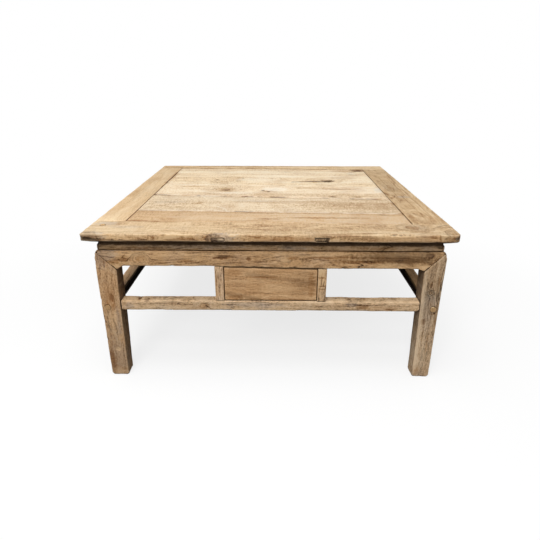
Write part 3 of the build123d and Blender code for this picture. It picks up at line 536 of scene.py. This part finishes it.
def seam(nodes, a, b, width, dirt, brown):
    """Dirt along a joint of the top, thick in some lengths and thin in others."""
    border = 9.0
    add_mark(nodes, dict(line(a, b, width + border, brown, "orange"), patchy=True))
    add_mark(nodes, dict(line(a, b, width, dirt), patchy=True))


boards = [f"panel_board_{number}" for number in "1234"]
seams = ((5.5, 0.35, 0.35), (7.0, 0.9, 0.5), (6.0, 0.4, 0.15))  # width, dirt and brown of each
for board, next_board, (width, dirt, brown) in zip(boards, boards[1:], seams):
    seam([board, next_board], top_corner(board, -1, 1), top_corner(board, 1, 1), width, dirt, brown)

# Frame and panel are worn down together, so their joints stay tight. Each is faintly dirty all
# along, and more so between two shares of its length.
front_left, front_right = top_corner(boards[0], -1, -1), top_corner(boards[0], 1, -1)
back_left, back_right = top_corner(boards[3], -1, 1), top_corner(boards[3], 1, 1)
for member, neighbours, a, b, dirt, start, end in (
    ("top_left_end", boards, back_left, front_left, 0.6, 0.12, 0.42),
    ("top_right_end", boards, back_right, front_right, 0.5, 0.72, 0.98),
    ("top_front_rail", boards[:1], front_left, front_right, 0.3, 0.0, 0.15),
    ("top_back_rail", boards[3:], back_left, back_right, 0.5, 0.0, 1.0),
):
    seam([member, *neighbours], a, b, 1.6, 0.2, 0.25)
    seam([member, *neighbours], between(a, b, start), between(a, b, end), 4.0, dirt, 0.4)
    add_mark([member, *neighbours], line(a, b, 9.0, 0.8, "kept"))
print(len(seams), "seams")

# %% Corners and tight joints
# Hands, brooms and feet have rounded the corners, alike on every piece that has them. From the
# middle of the table: faces of a leg at the floor, ends of a mitre, outer faces of waist and top.
leg_outside, leg_inside = 479, 428
mitre_near, mitre_far = 438, 464
waist_outside, top_outside = 467, 500


def worn_corner(node, x, y, z, size, strength):
    """Round a corner off. x, y and z are its place, size its reach."""
    add_mark([node], mark("worn", (x, y, z), (size, size, size), strength))


def mitre(near, far):
    """A tight mitre between a leg and an apron, which climbs from near to far."""
    return line((*near, 358), (*far, 392), 9.0, 1.0, "kept")


for side, x in (("left", -1), ("right", 1)):
    for end, y in (("front", -1), ("back", 1)):
        leg = f"leg_{end}_{side}"
        out_x, out_y = x * leg_outside, y * leg_outside
        worn_corner(leg, out_x, out_y, 0, 8, 0.4)
        worn_corner(leg, x * leg_inside, out_y, 0, 6, 0.3)
        worn_corner(leg, out_x, out_y, 396, 15, 0.5)
        worn_corner(f"apron_{end}", out_x, out_y, 401, 12, 0.5)
        waist_end = mark("kept", (x * waist_outside, y * waist_outside, 412), (16, 16, 18), 1.0)
        add_mark((f"waist_{end}", f"waist_{side}"), waist_end)
        worn_corner(f"top_{end}_rail", x * top_outside, y * top_outside, 448, 8, 0.1)
        add_mark((leg, f"apron_{end}"), mitre((x * mitre_near, out_y), (x * mitre_far, out_y)))
        add_mark((leg, f"apron_{side}"), mitre((out_x, y * mitre_near), (out_x, y * mitre_far)))

# The drawer still fits its bay closely.
bay_left, bay_right, bay_y = -128.5, 132.5, -477
for x in (bay_left, bay_right):
    add_mark(("drawer_front", "drawer_post_left", "drawer_post_right"),
             line((x, bay_y, 250), (x, bay_y, 360), 5.0, 0.65, "kept"))
add_mark(("drawer_front", "stretcher_front"),
         line((bay_left, bay_y, 253), (bay_right, bay_y, 253), 4.0, 0.6, "kept"))

# Painted shadow: a dark band along the top of the waist, under the overhang of the top.
add_mark(("waist_front", "waist_back", "waist_left", "waist_right"),
         mark("soot", (None, None, 420.5), (None, None, 7.0), 0.85))
print(sum(len(m) for m in marks.values()), "marks on", len(marks), "timbers")

# %% [markdown]
# ## Wearing a timber
# A worn timber could be sculpted by hand, but forty of them would take days, and the result has
# to be the same each time. So each timber is a copy of its node, remeshed into an even skin of
# small faces, and then worn by one geometry node tree. The tree blurs the positions of the
# points: on a flat face that changes nothing, and at an arris it rounds it. Noise decides where
# the rounding is strong, as on a real edge. Ripples and dents are pushed inwards only, so no timber
# grows into its neighbour.

# %% A mark's reach, shared by the wear and the finishes
patch_heart, patch_border = 0.25, 1.15  # where a patch is full and where it ends, in its sizes
line_heart, line_border = 0.3, 1.3  # the same for a line, in its widths
patch_fray, line_fray = 1.1, 2.0  # how far noise moves the two borders


def mark_reach(t, place, m, ragged):
    """1 at the heart of a mark and 0 past its border. place is in millimetres."""
    fray = t.minus(ragged, 0.5)
    if "a" in m:
        width = m["width"]
        along = tuple(b - a for a, b in zip(m["a"], m["b"]))
        square = sum(c * c for c in along)
        from_a = t.vector("SUBTRACT", place, m["a"])
        share = t.math("DIVIDE", t.dot(from_a, along), square)
        share = t.math("MINIMUM", t.math("MAXIMUM", share, 0.0), 1.0)
        foot = t.vector("MULTIPLY", t.join(share, share, share), along)
        gap = t.length(t.vector("SUBTRACT", from_a, foot))
        gap = t.math("ADD", gap, t.times(fray, line_fray * width))
        return t.step(gap, width * line_border, width * line_heart)
    inverse = tuple(1.0 / s for s in m["size"])
    distance = t.length(t.vector("MULTIPLY", t.vector("SUBTRACT", place, m["at"]), inverse))
    distance = t.math("ADD", distance, t.times(fray, patch_fray))
    return t.step(distance, patch_border, patch_heart)


print("marks can be read by any tree")

# %% The wear tree of one timber
arris_depth = 0.9 * mm  # how far a blurred arris lies in from the sharp one
rubbed, chipped, rounded = 4, 18, 70  # rounds of blurring for an arris, a chip and a corner
# noise sizes in millimetres: fraying of marks, rubbed stretches, chips and ripples
frayed_size, rubbed_size, chip_size = 7.0, 34, 13
ripple_length, ripple_width = 150, 28


def wear_tree(node, seed, rounding, waviness):
    """A geometry node tree that rounds arrises, ripples faces and sinks the marks."""
    own_marks = marks.get(node, [])
    tree = bpy.data.node_groups.new(node + " wear", "GeometryNodeTree")
    for way in ("INPUT", "OUTPUT"):
        tree.interface.new_socket("Geometry", in_out=way, socket_type="NodeSocketGeometry")
    t = Tree(tree)
    start = t.add("NodeGroupInput").outputs[0]
    position = t.add("GeometryNodeInputPosition").outputs[0]
    normal = t.add("GeometryNodeInputNormal").outputs[0]
    place = t.scaled(position, 1 / mm)
    shifted = t.vector("ADD", place, (seed * 370, seed * 730, seed * 190))
    ragged = t.clouds(place, frayed_size, 2)

    def blurred(rounds):
        values = {"Value": position, "Iterations": rounds}
        return t.add("GeometryNodeBlurAttribute", values, data_type="FLOAT_VECTOR").outputs[0]

    def strength_of(m):
        return t.times(mark_reach(t, place, m, ragged), m["strength"])

    soft, chewed, round_off = blurred(rubbed), blurred(chipped), blurred(rounded)
    patchy = t.step(t.clouds(shifted, rubbed_size, 2), 0.35, 0.65)
    chips = t.step(t.clouds(shifted, chip_size, 3, 0.6), 0.58, 0.68)
    worn = t.mix_vector(t.times(t.times_plus(patchy, 0.8, 0.2), rounding), position, soft)
    worn = t.mix_vector(t.times(chips, 0.85 * rounding), worn, chewed)
    kept = 0.0
    for m in own_marks:
        if m["kind"] == "worn":
            worn = t.mix_vector(strength_of(m), worn, round_off)
        if m["kind"] == "kept":
            kept = t.math("MAXIMUM", strength_of(m), kept)
    worn = t.mix_vector(kept, worn, position)

    ripple_scale = grain_scale(grains[node], ripple_length, ripple_width)
    along_grain = t.vector("MULTIPLY", shifted, ripple_scale)
    sink = t.times(t.step(t.noise(along_grain, 2), 0.25, 0.8), waviness)
    chatter = t.noise(t.scaled(along_grain, 4.0), 2)
    sink = t.times_plus(chatter, 0.4 * waviness, sink)
    for m in own_marks:
        if m["depth"] > 0:
            sink = t.times_plus(mark_reach(t, place, m, ragged), m["depth"] * mm, sink)
    free = t.minus(1.0, kept)
    moved = t.vector("SUBTRACT", worn, t.scaled(normal, t.times(sink, free)))
    arris = t.math("DIVIDE", t.length(t.vector("SUBTRACT", soft, position)), arris_depth)
    arris = t.times(t.math("MINIMUM", arris, 1.0), free)
    values = {"Geometry": start, "Name": "arris", "Value": arris}
    store = t.add("GeometryNodeStoreNamedAttribute", values, data_type="FLOAT", domain="POINT")
    values = {"Geometry": store.outputs[0], "Position": moved}
    t.add("NodeGroupOutput", {0: t.add("GeometryNodeSetPosition", values).outputs[0]})
    return tree


print("wear tree ready")

# %% [markdown]
# ## The timbers
# The size of the small faces decides how fine the wear can be. Two to three millimetres is enough
# for a timber that is looked at from a metre away, and one millimetre for a peg.

# %% Copying and wearing a node
same_point = 0.01 * mm  # points this close together are one point


def worn_copy(node, voxel, seed, rounding, waviness):
    """A remeshed and worn copy of a node, which then stands for it."""
    piece = bpy.data.objects.new(node + "_worn", frame["nodes"][node].data.copy())
    bpy.context.scene.collection.objects.link(piece)
    piece.data.materials.clear()
    bpy.ops.object.select_all(action="DESELECT")
    piece.select_set(True)
    bpy.context.view_layer.objects.active = piece
    bpy.ops.object.mode_set(mode="EDIT")
    bpy.ops.mesh.select_all(action="SELECT")
    bpy.ops.mesh.remove_doubles(threshold=same_point)
    bpy.ops.object.mode_set(mode="OBJECT")
    skin = piece.modifiers.new("even skin", "REMESH")
    skin.mode = "VOXEL"
    skin.voxel_size = voxel
    bpy.ops.object.modifier_apply(modifier=skin.name)
    wear = piece.modifiers.new("wear", "NODES")
    wear.node_group = wear_tree(node, seed, rounding, waviness)
    bpy.ops.object.modifier_apply(modifier=wear.name)
    bpy.ops.object.shade_smooth()
    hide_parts(node)
    return piece


print("points merge within", round(same_point / mm, 3), "mm")

# %% Wearing all the timbers
# family: (faces in mm, rounding, ripples in mm)
wear_of = {
    "panel_board": (3.0, 0.25, 0.7),
    "top": (2.6, 0.65, 0.9),
    "waist": (2.4, 0.3, 0.6),
    "apron": (2.4, 0.95, 1.3),
    "leg": (2.0, 1.0, 1.5),
    "stretcher": (2.2, 1.0, 1.4),
    "drawer_post": (1.6, 0.8, 0.4),
    "drawer_front": (2.0, 0.7, 0.5),
    "drawer": (3.0, 0.4, 0.3),
    "batten": (3.5, 0.6, 0.5),
    "stretcher_left": (2.2, 0.5, 0.8),
    "stretcher_right": (2.2, 0.5, 0.8),
    "stretcher_pegs": (1.0, 0.9, 0.15),
    "top_pegs": (1.2, 0.9, 0.15),
}


def family(node, table):
    """The longest family name that a node's name starts with."""
    return max((name for name in table if node.startswith(name)), key=len)


timbers = {}
for seed, node in enumerate(sorted(frame["nodes"]), start=1):
    face, rounding, ripples = wear_of[family(node, wear_of)]
    timbers[node] = worn_copy(node, face * mm, seed, rounding, ripples * mm)
faces = {node: len(piece.data.polygons) for node, piece in timbers.items()}
print(len(timbers), "worn timbers,", sum(faces.values()), "faces, most on", max(faces, key=faces.get))

# %% [markdown]
# ## Riding on the frame
# The drawer is the only part that moves, so each copy rides on the body that its node is in.

# %% Bodies
bodies = frame["record"]["behaviour"]["bodies"]
body_of = {node: body for body, members in bodies.items() for node in members}
for node, piece in timbers.items():
    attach(piece, body_of[node])

# %% [markdown]
# ## Elm
# Elm is a ring-porous wood: each year leaves one coarse, dark band and one smooth, pale one. In a
# plank these are sections through long cones round the pith, the heart of the trunk. So the figure
# is made as a solid: for each point the distance from a pith line is worked out, and all colour
# follows that distance. A face then shows streaks, an end shows arcs, and they meet at the arris
# as they do in real wood. A knot is a second, small pith that crosses the first.

# %% Colours
def paint(code):
    """A linear colour from a web colour code."""
    parts = [int(code[i:i + 2], 16) / 255 for i in (1, 3, 5)]
    linear = [c / 12.92 if c <= 0.04045 else ((c + 0.055) / 1.055) ** 2.4 for c in parts]
    return (*linear, 1.0)


# family: pale, body and vein of the wood, tint of its upright faces, figure, grit, weathering, painted
# shade in nooks
elm_tones = {
    "panel_board": ("#FDF1DA", "#F5DCB6", "#BC9870", "#B89A76", 0.35, 1.3, 0.05, 0.15),
    "top": ("#EED4AC", "#D8B88E", "#9C764F", "#FCEEDC", 0.55, 1.1, 0.12, 0.2),
    "top_left_end": ("#F8E4C2", "#E4C69E", "#B08A60", "#F6E6CE", 0.3, 0.8, 0.12, 0.2),
    "waist": ("#BC9C78", "#997A55", "#58442F", "#FFFFFF", 0.85, 1.1, 0.35, 0.7),
    "apron": ("#E2BC8E", "#C89E70", "#6C4E34", "#FFFFFF", 0.95, 1.0, 0.22, 0.7),
    "leg": ("#E8CAA2", "#D0A97F", "#7C5E42", "#FFFFFF", 0.65, 1.6, 0.3, 0.7),
    "leg_front_right": ("#EAD0AE", "#D2B18C", "#80684F", "#FFFFFF", 0.55, 1.2, 0.3, 0.7),
    "stretcher": ("#F0D4AE", "#DCBC93", "#86684C", "#FFFFFF", 0.75, 1.5, 0.25, 0.6),
    # painted light: stretcher_left is paler, to stand for light that the top keeps off its upper face,
    # and its upright faces are tinted darker again
    "stretcher_left": ("#FCD6AA", "#FACA98", "#9C7450", "#D8D8DC", 0.7, 1.3, 0.05, 0.3),
    "stretcher_right": ("#DCB280", "#CEA070", "#845C3C", "#F8FAFF", 0.7, 1.3, 0.08, 0.3),
    "drawer_post": ("#ECCBA0", "#D8B288", "#80644A", "#FFFFFF", 0.95, 1.5, 0.3, 0.3),
    "drawer_front": ("#E4BE90", "#CCA072", "#8A6642", "#FFFFFF", 0.5, 0.9, 0.08, 0.15),
    "drawer": ("#C8AC88", "#AC8E6C", "#75604A", "#FFFFFF", 0.8, 1.0, 0.5, 0.7),
    "batten": ("#C8AC88", "#A68866", "#6C543C", "#FFFFFF", 0.9, 1.0, 0.5, 0.7),
    "stretcher_pegs": ("#F4D6A8", "#E6BE88", "#A37E54", "#FFFFFF", 0.6, 1.0, 0.05, 0.3),
    "top_pegs": ("#DDB98C", "#C9A577", "#8A6745", "#FFFFFF", 0.6, 0.8, 0.2, 0.6),
}
# no two timbers of a family have the same colour: a tint for those that stand out
tints = {"panel_board_1": "#D8CABC", "panel_board_2": "#ECECEE", "panel_board_3": "#FAFAFC",
         "top_left_end": "#F8F6F2", "top_front_rail": "#F0F0F2", "top_right_end": "#ECEAE8",
         "leg_front_left": "#F4EEE8", "stretcher_front": "#F8F4F2",
         "drawer_post_left": "#F8F8FC", "drawer_post_right": "#F6F4F0"}
# how strong the figure is on one timber, against the rest of its family
liveliness = {"top_left_end": 0.5, "leg_front_left": 0.8, "apron_front": 0.75}
# the colour of stains and splits, also used for painted shade in nooks
stain_and_nook_shade_tone = paint("#452E1A")
warm_tone = paint("#B4875A")
# painted shade on faces that look into the table below the top
inward_shade_tone = paint("#503C2B")
# painted shade on faces that look down
underside_shade_tone = paint("#4A3420")
# the painted shadow under the top's overhang
shadow_band_tone = paint("#3A2614")
# painted shadow on the inner faces of the side stretchers
stretcher_inner_shadow_tone = paint("#1E120A")
shade_tone = paint("#A8A096")
print(len(elm_tones), "finishes")

# %% [markdown]
# The finish of one timber is built up in the order in which it came about: the figure of the
# wood, then splits and open pores, then the marks, then what age and hands left on it, with painted
# shade on faces that look down or inward and in nooks.

# %% The figure of the wood
noise_shift = 17.3  # times its seed, this sets each timber apart in the noise
year = 6.2  # millimetres between two year lines


def elm_figure(t, place, centre, grain, seed, own_marks):
    """The length along the grain and the distance from the pith, both in millimetres."""
    x, y, z = t.split(t.vector("SUBTRACT", place, centre))
    along, across, deep = {"X": (x, y, z), "Y": (y, x, z), "Z": (z, x, y)}[grain]
    shift = seed * noise_shift

    def wander(length, width, reach):
        """How far the fibres stray sideways."""
        where = t.join(t.times(along, 1 / length), t.times(across, 1 / width),
                       t.times_plus(deep, 1 / width, shift))
        return t.times(t.minus(t.noise(where, 1), 0.5), reach)

    stray = t.math("ADD", wander(240, 70, 60.0), wander(48, 15, 9.0))
    pith_across = 55.0 * math.sin(seed * 2.4)
    pith_deep = -62.0 - 22.0 * math.cos(seed * 1.7)
    sideways = t.math("ADD", t.minus(across, pith_across), stray)
    rings = t.length(t.join(sideways, t.minus(deep, pith_deep), 0.0))
    ragged = t.clouds(place, 22.0, 2)
    for m in own_marks:
        if m["kind"] != "knot":
            continue
        wide = dict(m, size=tuple(s * 1.6 for s in m["size"]))
        inverse = tuple(1.0 / s for s in m["size"])
        narrow = min(m["size"])
        around = t.length(t.vector("MULTIPLY", t.vector("SUBTRACT", place, m["at"]), inverse))
        around = t.times(around, t.times_plus(ragged, 0.6 * narrow, 0.15 * narrow))
        rings = t.mix(mark_reach(t, place, wide, ragged), rings, around)
    return along, rings, shift


def streaks(t, figure, layer, length, width, detail):
    """Noise drawn out along the grain. Each layer has streaks of its own, sized in millimetres."""
    along, rings, shift = figure
    where = t.join(t.times(along, 1 / length), t.times(rings, 1 / width), shift + layer)
    return t.noise(where, detail)


def year_lines(t, figure):
    """Thin dark lines, one for each year, some strong and some faint."""
    along, rings, shift = figure
    loose = streaks(t, figure, 2, 180, 22, 1)
    years = t.times_plus(rings, 1 / year, t.times(loose, 4.0))
    late_wood = t.step(t.math("FRACT", years), 0.55, 0.0)
    return t.times(late_wood, t.step(streaks(t, figure, 9, 260, 17, 2), 0.38, 0.66))


print("a year line every", year, "mm")

# %% [markdown]
# The tone of the bare wood is one number, and a colour ramp turns it into a colour. Broad bands,
# veins, year lines and fibres each add their share. Grit is the exception: it doesn't follow the
# grain, because it comes from dust, scuffs and weather.

# %% Tone of the bare wood
def wood_tone(t, place, grain, figure, contrast, gritty, scuffed):
    """The tone of the wood from 0, the vein, to 1, the pale wood, and its fine relief."""
    bands = streaks(t, figure, 0, 600, 34, 2)
    veins = streaks(t, figure, 3, 200, 7.0, 3)
    fibres = streaks(t, figure, 5, 30, 2.2, 2)
    pores = t.step(streaks(t, figure, 7, 14, 0.8, 0), 0.64, 0.74)
    lines = year_lines(t, figure)
    dashes = t.step(streaks(t, figure, 15, 26, 2.6, 1), 0.62, 0.70)
    grit = t.noise(t.vector("MULTIPLY", place, grain_scale(grain, 6.0, 3.6)), 3, 0.7)
    scuff_size = (1 / 5.0, 1 / (90 if grain == "Y" else 24), 1 / 24.0)
    scuffs = t.noise(t.vector("MULTIPLY", place, scuff_size), 3, 0.65)
    patches = t.clouds(place, 38.0, 3, 0.6)
    shares = ((bands, 0.5, 1.0), (veins, 0.5, 1.5 * contrast), (fibres, 0.5, 1.75 * contrast),
              (patches, 0.5, 0.6 * contrast), (grit, 0.5, 1.15 * gritty), (scuffs, 0.5, scuffed),
              (pores, 0.0, -0.14 * contrast), (lines, 0.3, -0.30 * contrast),
              (dashes, 0.1, -0.32 * contrast ** 2))
    tone = 0.52
    for value, middle, share in shares:
        tone = t.times_plus(t.minus(value, middle), share, tone)
    relief = t.times_plus(grit, 0.7, t.times(fibres, 0.8))
    for value, share in ((lines, -0.35), (pores, -0.3), (dashes, -0.4)):
        relief = t.times_plus(value, share, relief)
    return tone, relief, veins


print("tone of the bare wood ready")

# %% [markdown]
# Splits follow the grain, so they are thin contours of one more stretched noise, kept only where a
# second noise allows. Pits are the small holes of beetles and nails.

# %% Splits and pits
def splits_and_pits(t, place, figure, grain, amount):
    """1 in a split or a pit."""
    contour = t.math("ABSOLUTE", t.minus(streaks(t, figure, 11, 130, 10, 2), 0.5))
    allowed = t.step(streaks(t, figure, 13, 150, 40, 1), 0.72 - 0.22 * amount, 0.80 - 0.22 * amount)
    splits = t.times(t.step(contour, 0.020, 0.006), allowed)
    cells = {"Vector": t.vector("MULTIPLY", place, grain_scale(grain, 34, 17)), "Scale": 1.0}
    holes = t.add("ShaderNodeTexVoronoi", cells)
    size = t.times(t.split(holes.outputs["Color"])[0], 0.16 * amount)
    pits = t.step(t.minus(holes.outputs["Distance"], size), 0.0, -0.05)
    return splits, pits


print("splits and pits ready")

# %% What a stain does
def brown_stain(t, amount):
    """What a stain multiplies the wood by: a thin one is orange brown, a thick one nearly black."""
    ramp = t.add("ShaderNodeValToRGB", {0: amount})
    stops = ramp.color_ramp.elements
    stops[0].color = (1, 1, 1, 1)
    stops[1].color = (0.13, 0.095, 0.07, 1)
    stops.new(0.35).color = (0.79, 0.70, 0.60, 1)
    stops.new(0.7).color = (0.40, 0.31, 0.245, 1)
    return ramp.outputs[0]


print("colours of a stain ready")

# %% How much of each mark there is
tone_of = {"stain": "dark", "knot": "dark", "split": "dark", "scratch": "pale"}


def mark_amounts(t, place, figure, veins, own_marks):
    """How strong each tone is. The borders of patches fray along the fibres."""
    ragged = t.clouds(place, frayed_size, 3, 0.6)
    fibrous = t.minus(streaks(t, figure, 17, 40, 3.4, 3), 0.5)
    patchy = t.times_plus(t.step(t.clouds(place, 48.0, 2), 0.42, 0.58), 0.75, 0.25)
    amounts = dict.fromkeys(("dark", "grey", "pale", "orange", "shade", "soot"), 0.0)
    for m in own_marks:
        if m["kind"] in ("worn", "kept"):
            continue
        reach = mark_reach(t, place, m, ragged)
        if "size" in m and m["kind"] != "shade":
            frayed = t.step(t.times_plus(fibrous, 2.0, reach), 0.1, 0.9)
            reach = t.math("MINIMUM", frayed, t.times(reach, 3.0))
        if m["kind"] == "knot":
            reach = t.times(reach, t.step(veins, 0.75, 0.3))
        if "patchy" in m:
            reach = t.times(reach, patchy)
        tone_name = tone_of.get(m["kind"], m["kind"])
        amounts[tone_name] = t.times_plus(reach, m["strength"], amounts[tone_name])
    return amounts


print("tones of some marks:", tone_of)

# %% What age and hands left, and painted shade
half_span = 450  # about half the table's width in millimetres
nook = 14 * mm  # points of timbers closer than this get painted shade


def aged_and_shaded(t, node, place, normal, cloud, colour):
    """Painted shade on faces that look down or into the table, bare wood on rubbed arrises, and
    painted shade in nooks.
    """
    pale, _, _, upright, _, _, _, nook_shading = elm_tones[family(node, elm_tones)]
    up = t.split(normal)[2]
    colour = t.colour(t.step(up, 0.75, 0.3), colour, paint(upright), "MULTIPLY")
    # painted shade: faces that look down are darkened
    colour = t.colour(t.step(up, -0.15, -0.6), colour, underside_shade_tone, "MULTIPLY")
    # 1 on a face that looks at the middle of the table, -1 on one that looks out
    inward = t.dot(t.vector("MULTIPLY", normal, (-1 / half_span, -1 / half_span, 0)), place)
    # painted shade: faces that look into the table, below the top, are darkened
    inward_shaded = t.times(t.step(inward, 0.3, 0.8), t.step(t.split(place)[2], -60, 380))
    colour = t.colour(t.times(inward_shaded, 0.65), colour, inward_shade_tone, "MULTIPLY")
    # painted shadow: the inner faces of the side stretchers are turned nearly black
    if node in ("stretcher_left", "stretcher_right"):
        colour = t.colour(t.step(inward, 0.4, 0.8), colour, stretcher_inner_shadow_tone)
    arris = t.add("ShaderNodeAttribute", attribute_name="arris").outputs["Fac"]
    open_air = t.add("ShaderNodeAmbientOcclusion", {"Distance": nook}, samples=6).outputs["AO"]
    bare = t.times(t.times(arris, t.step(cloud, 0.30, 0.55)), t.step(open_air, 0.5, 0.95))
    colour = t.colour(t.times(bare, 0.5), colour, paint(pale))
    # painted shade: where the ambient occlusion finds timber close by, the colour is darkened toward
    # the stain colour
    nook_shade = t.times(t.step(open_air, 0.62, 0.2), nook_shading)
    colour = t.colour(nook_shade, colour, stain_and_nook_shade_tone)
    if node in tints:
        colour = t.colour(1.0, colour, paint(tints[node]), "MULTIPLY")
    return colour


print("timbers shelter each other within", round(nook / mm), "mm")

# %% The finish of one timber
def elm(node, seed):
    """Old, dry elm with its own figure, marks and wear."""
    pale, body, vein, _, contrast, gritty, weathering, _ = elm_tones[family(node, elm_tones)]
    contrast *= liveliness.get(node, 1.0)
    own_marks = marks.get(node, [])
    grain = grains[node]
    low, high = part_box(node)
    centre = tuple((low + high) / 2 / mm)
    material = bpy.data.materials.new(node.replace("_", " ") + " elm")
    t = fresh_tree(material)
    coordinates = t.add("ShaderNodeTexCoord")
    place = t.scaled(coordinates.outputs["Object"], 1 / mm)
    figure = elm_figure(t, place, centre, grain, seed, own_marks)

    normal = coordinates.outputs["Normal"]
    lies_open = node.startswith(("top_", "panel_")) and grain != "Z"
    scuffed = (0.8 if lies_open else 0.25) * liveliness.get(node, 1.0)
    tone, relief, veins = wood_tone(t, place, grain, figure, contrast, gritty, scuffed)
    if lies_open:
        # the sawn edges show more contrast than the planed face
        sawn = t.step(t.split(normal)[2], 0.75, 0.3)
        tone = t.times_plus(t.minus(tone, 0.5), t.mix(sawn, 1.0, 1.7), 0.5)
    ramp = t.add("ShaderNodeValToRGB", {0: tone})
    stops = ramp.color_ramp.elements
    stops[0].position = 0.08
    stops[0].color = paint(vein)
    stops[1].position = 0.92
    stops[1].color = paint(pale)
    stops.new(0.50).color = paint(body)
    colour = ramp.outputs[0]

    shift = seed * noise_shift
    cloud = t.clouds(t.vector("ADD", place, (shift, 3 * shift, 0)), 60.0, 4, 0.65)
    warm = t.clouds(t.vector("ADD", place, (0, shift, shift)), 110.0, 2)
    colour = t.colour(t.times(t.step(warm, 0.5, 0.75), 0.25), colour, warm_tone)
    splits, pits = splits_and_pits(t, place, figure, grain, min(1.0, 1.8 * weathering))
    colour = t.colour(t.times(splits, 0.8), colour, stain_and_nook_shade_tone)
    colour = t.colour(t.times(pits, 0.65), colour, stain_and_nook_shade_tone)
    relief = t.times_plus(splits, -1.5, t.times_plus(pits, -1.0, relief))

    amounts = mark_amounts(t, place, figure, veins, own_marks)
    relief = t.times_plus(amounts["dark"], -0.8, relief)
    colour = t.colour(amounts["orange"], colour, warm_tone)
    greyed = t.times_plus(t.step(cloud, 0.48, 0.66), weathering, amounts["grey"])
    colour = t.faded(greyed, colour)
    colour = t.colour(1.0, colour, brown_stain(t, amounts["dark"]), "MULTIPLY")
    colour = t.colour(amounts["shade"], colour, shade_tone, "MULTIPLY")
    colour = t.colour(amounts["pale"], colour, paint(pale))
    # painted shadow along the top of the waist, under the overhang
    colour = t.colour(amounts["soot"], colour, shadow_band_tone)
    colour = aged_and_shaded(t, node, place, normal, cloud, colour)
    bump = t.add("ShaderNodeBump", {"Strength": 0.9, "Distance": 1.2 * mm, "Height": relief})
    rough = t.times_plus(veins, 0.12, 0.76)
    shader = t.add("ShaderNodeBsdfPrincipled",
                   {"Base Color": colour, "Roughness": rough, "Normal": bump.outputs[0]})
    shader.inputs["Specular IOR Level"].default_value = 0.2
    t.add("ShaderNodeOutputMaterial", {0: shader.outputs[0]})
    return material


for seed, (node, piece) in enumerate(sorted(timbers.items()), start=1):
    finish = elm(node, seed)
    piece.data.materials.append(finish)
    frame["nodes"][node].data.materials.clear()
    frame["nodes"][node].data.materials.append(finish)
print(len(bpy.data.materials), "finishes made")

# %% [markdown]
# ## Floor, light and camera
# The table stands on a plain pale floor under a large soft lamp. Little light comes back from the
# floor, so that the underside of the top and the inner faces of the legs stay dark, as they do
# indoors. Only what the camera sees of the floor is white.

# %% Floor
floor_size = 60.0  # wide enough to reach the horizon
seen_floor = (0.97, 0.97, 0.97, 1)
unseen_floor = (0.15, 0.14, 0.13, 1)  # what the floor throws back onto the table

bpy.ops.object.select_all(action="DESELECT")
bpy.ops.mesh.primitive_plane_add(size=floor_size, location=(0, 0, 0))
floor = bpy.context.active_object
floor.name = "floor"
floor_paint = bpy.data.materials.new("pale floor")
t = fresh_tree(floor_paint)
seen = t.add("ShaderNodeLightPath").outputs["Is Camera Ray"]
matt = t.add("ShaderNodeBsdfDiffuse", {"Color": t.colour(seen, unseen_floor, seen_floor)})
clean = t.add("ShaderNodeEmission", {"Color": (1, 1, 1, 1), "Strength": 1.0})
from_table = t.length(t.add("ShaderNodeTexCoord").outputs["Object"])
far = t.times(t.times_plus(t.step(from_table, 0.6, 1.5), 0.22, 0.78), seen)
blend = t.add("ShaderNodeMixShader", {0: far, 1: matt.outputs[0], 2: clean.outputs[0]})
t.add("ShaderNodeOutputMaterial", {0: blend.outputs[0]})
floor.data.materials.append(floor_paint)
print("floor", tuple(round(s, 1) for s in floor.dimensions))

# %% World and lamps
from mathutils import Matrix, Vector

world = bpy.data.worlds.new("studio")
bpy.context.scene.world = world
t = fresh_tree(world)
seen = t.add("ShaderNodeLightPath").outputs["Is Camera Ray"]
strength = t.mix(seen, 0.40, 1.0)  # the walls look white but throw little light
background = t.add("ShaderNodeBackground", {"Color": (1, 1, 1, 1), "Strength": strength})
t.add("ShaderNodeOutputWorld", {0: background.outputs[0]})


def soft_lamp(name, place, aim, size, power):
    """A square lamp that looks at a point."""
    lamp = bpy.data.lights.new(name, "AREA")
    lamp.size = size
    lamp.energy = power
    holder = bpy.data.objects.new(name, lamp)
    bpy.context.scene.collection.objects.link(holder)
    holder.location = place
    holder.rotation_euler = (Vector(aim) - Vector(place)).to_track_quat("-Z", "Y").to_euler()


soft_lamp("overhead softbox", (-0.3, -0.9, 2.9), (0, 0, 0.3), 1.8, 40.5)
soft_lamp("front fill", (-0.8, -3.0, 2.5), (0, 0, 0.25), 1.4, 60.0)
print("world and lamps set")

# %% [markdown]
# The camera stands a little above the top's edge and looks down at the front. Its angle, height
# and lens set how the square top narrows towards the back.

# %% Camera
camera_place = (0.01220, -1.61845, 0.83271)
pitch = math.radians(22.9985)
yaw = math.radians(-0.6095)
roll = math.radians(0.0822)
lens = bpy.data.cameras.new("camera")
lens.sensor_width = 36.0
lens.lens = 30.205
camera = bpy.data.objects.new("camera", lens)
bpy.context.scene.collection.objects.link(camera)
bpy.context.scene.camera = camera
forward = Vector((math.sin(yaw) * math.cos(pitch), math.cos(yaw) * math.cos(pitch), -math.sin(pitch)))
level = Vector((math.cos(yaw), -math.sin(yaw), 0))
upward = level.cross(forward)
right = math.cos(roll) * level + math.sin(roll) * upward
above = -math.sin(roll) * level + math.cos(roll) * upward
turn = Matrix((right, above, -forward)).transposed().to_4x4()
camera.matrix_world = Matrix.Translation(camera_place) @ turn
bpy.context.scene.view_settings.view_transform = "Standard"
print("camera at", tuple(round(c, 3) for c in camera.matrix_world.translation))
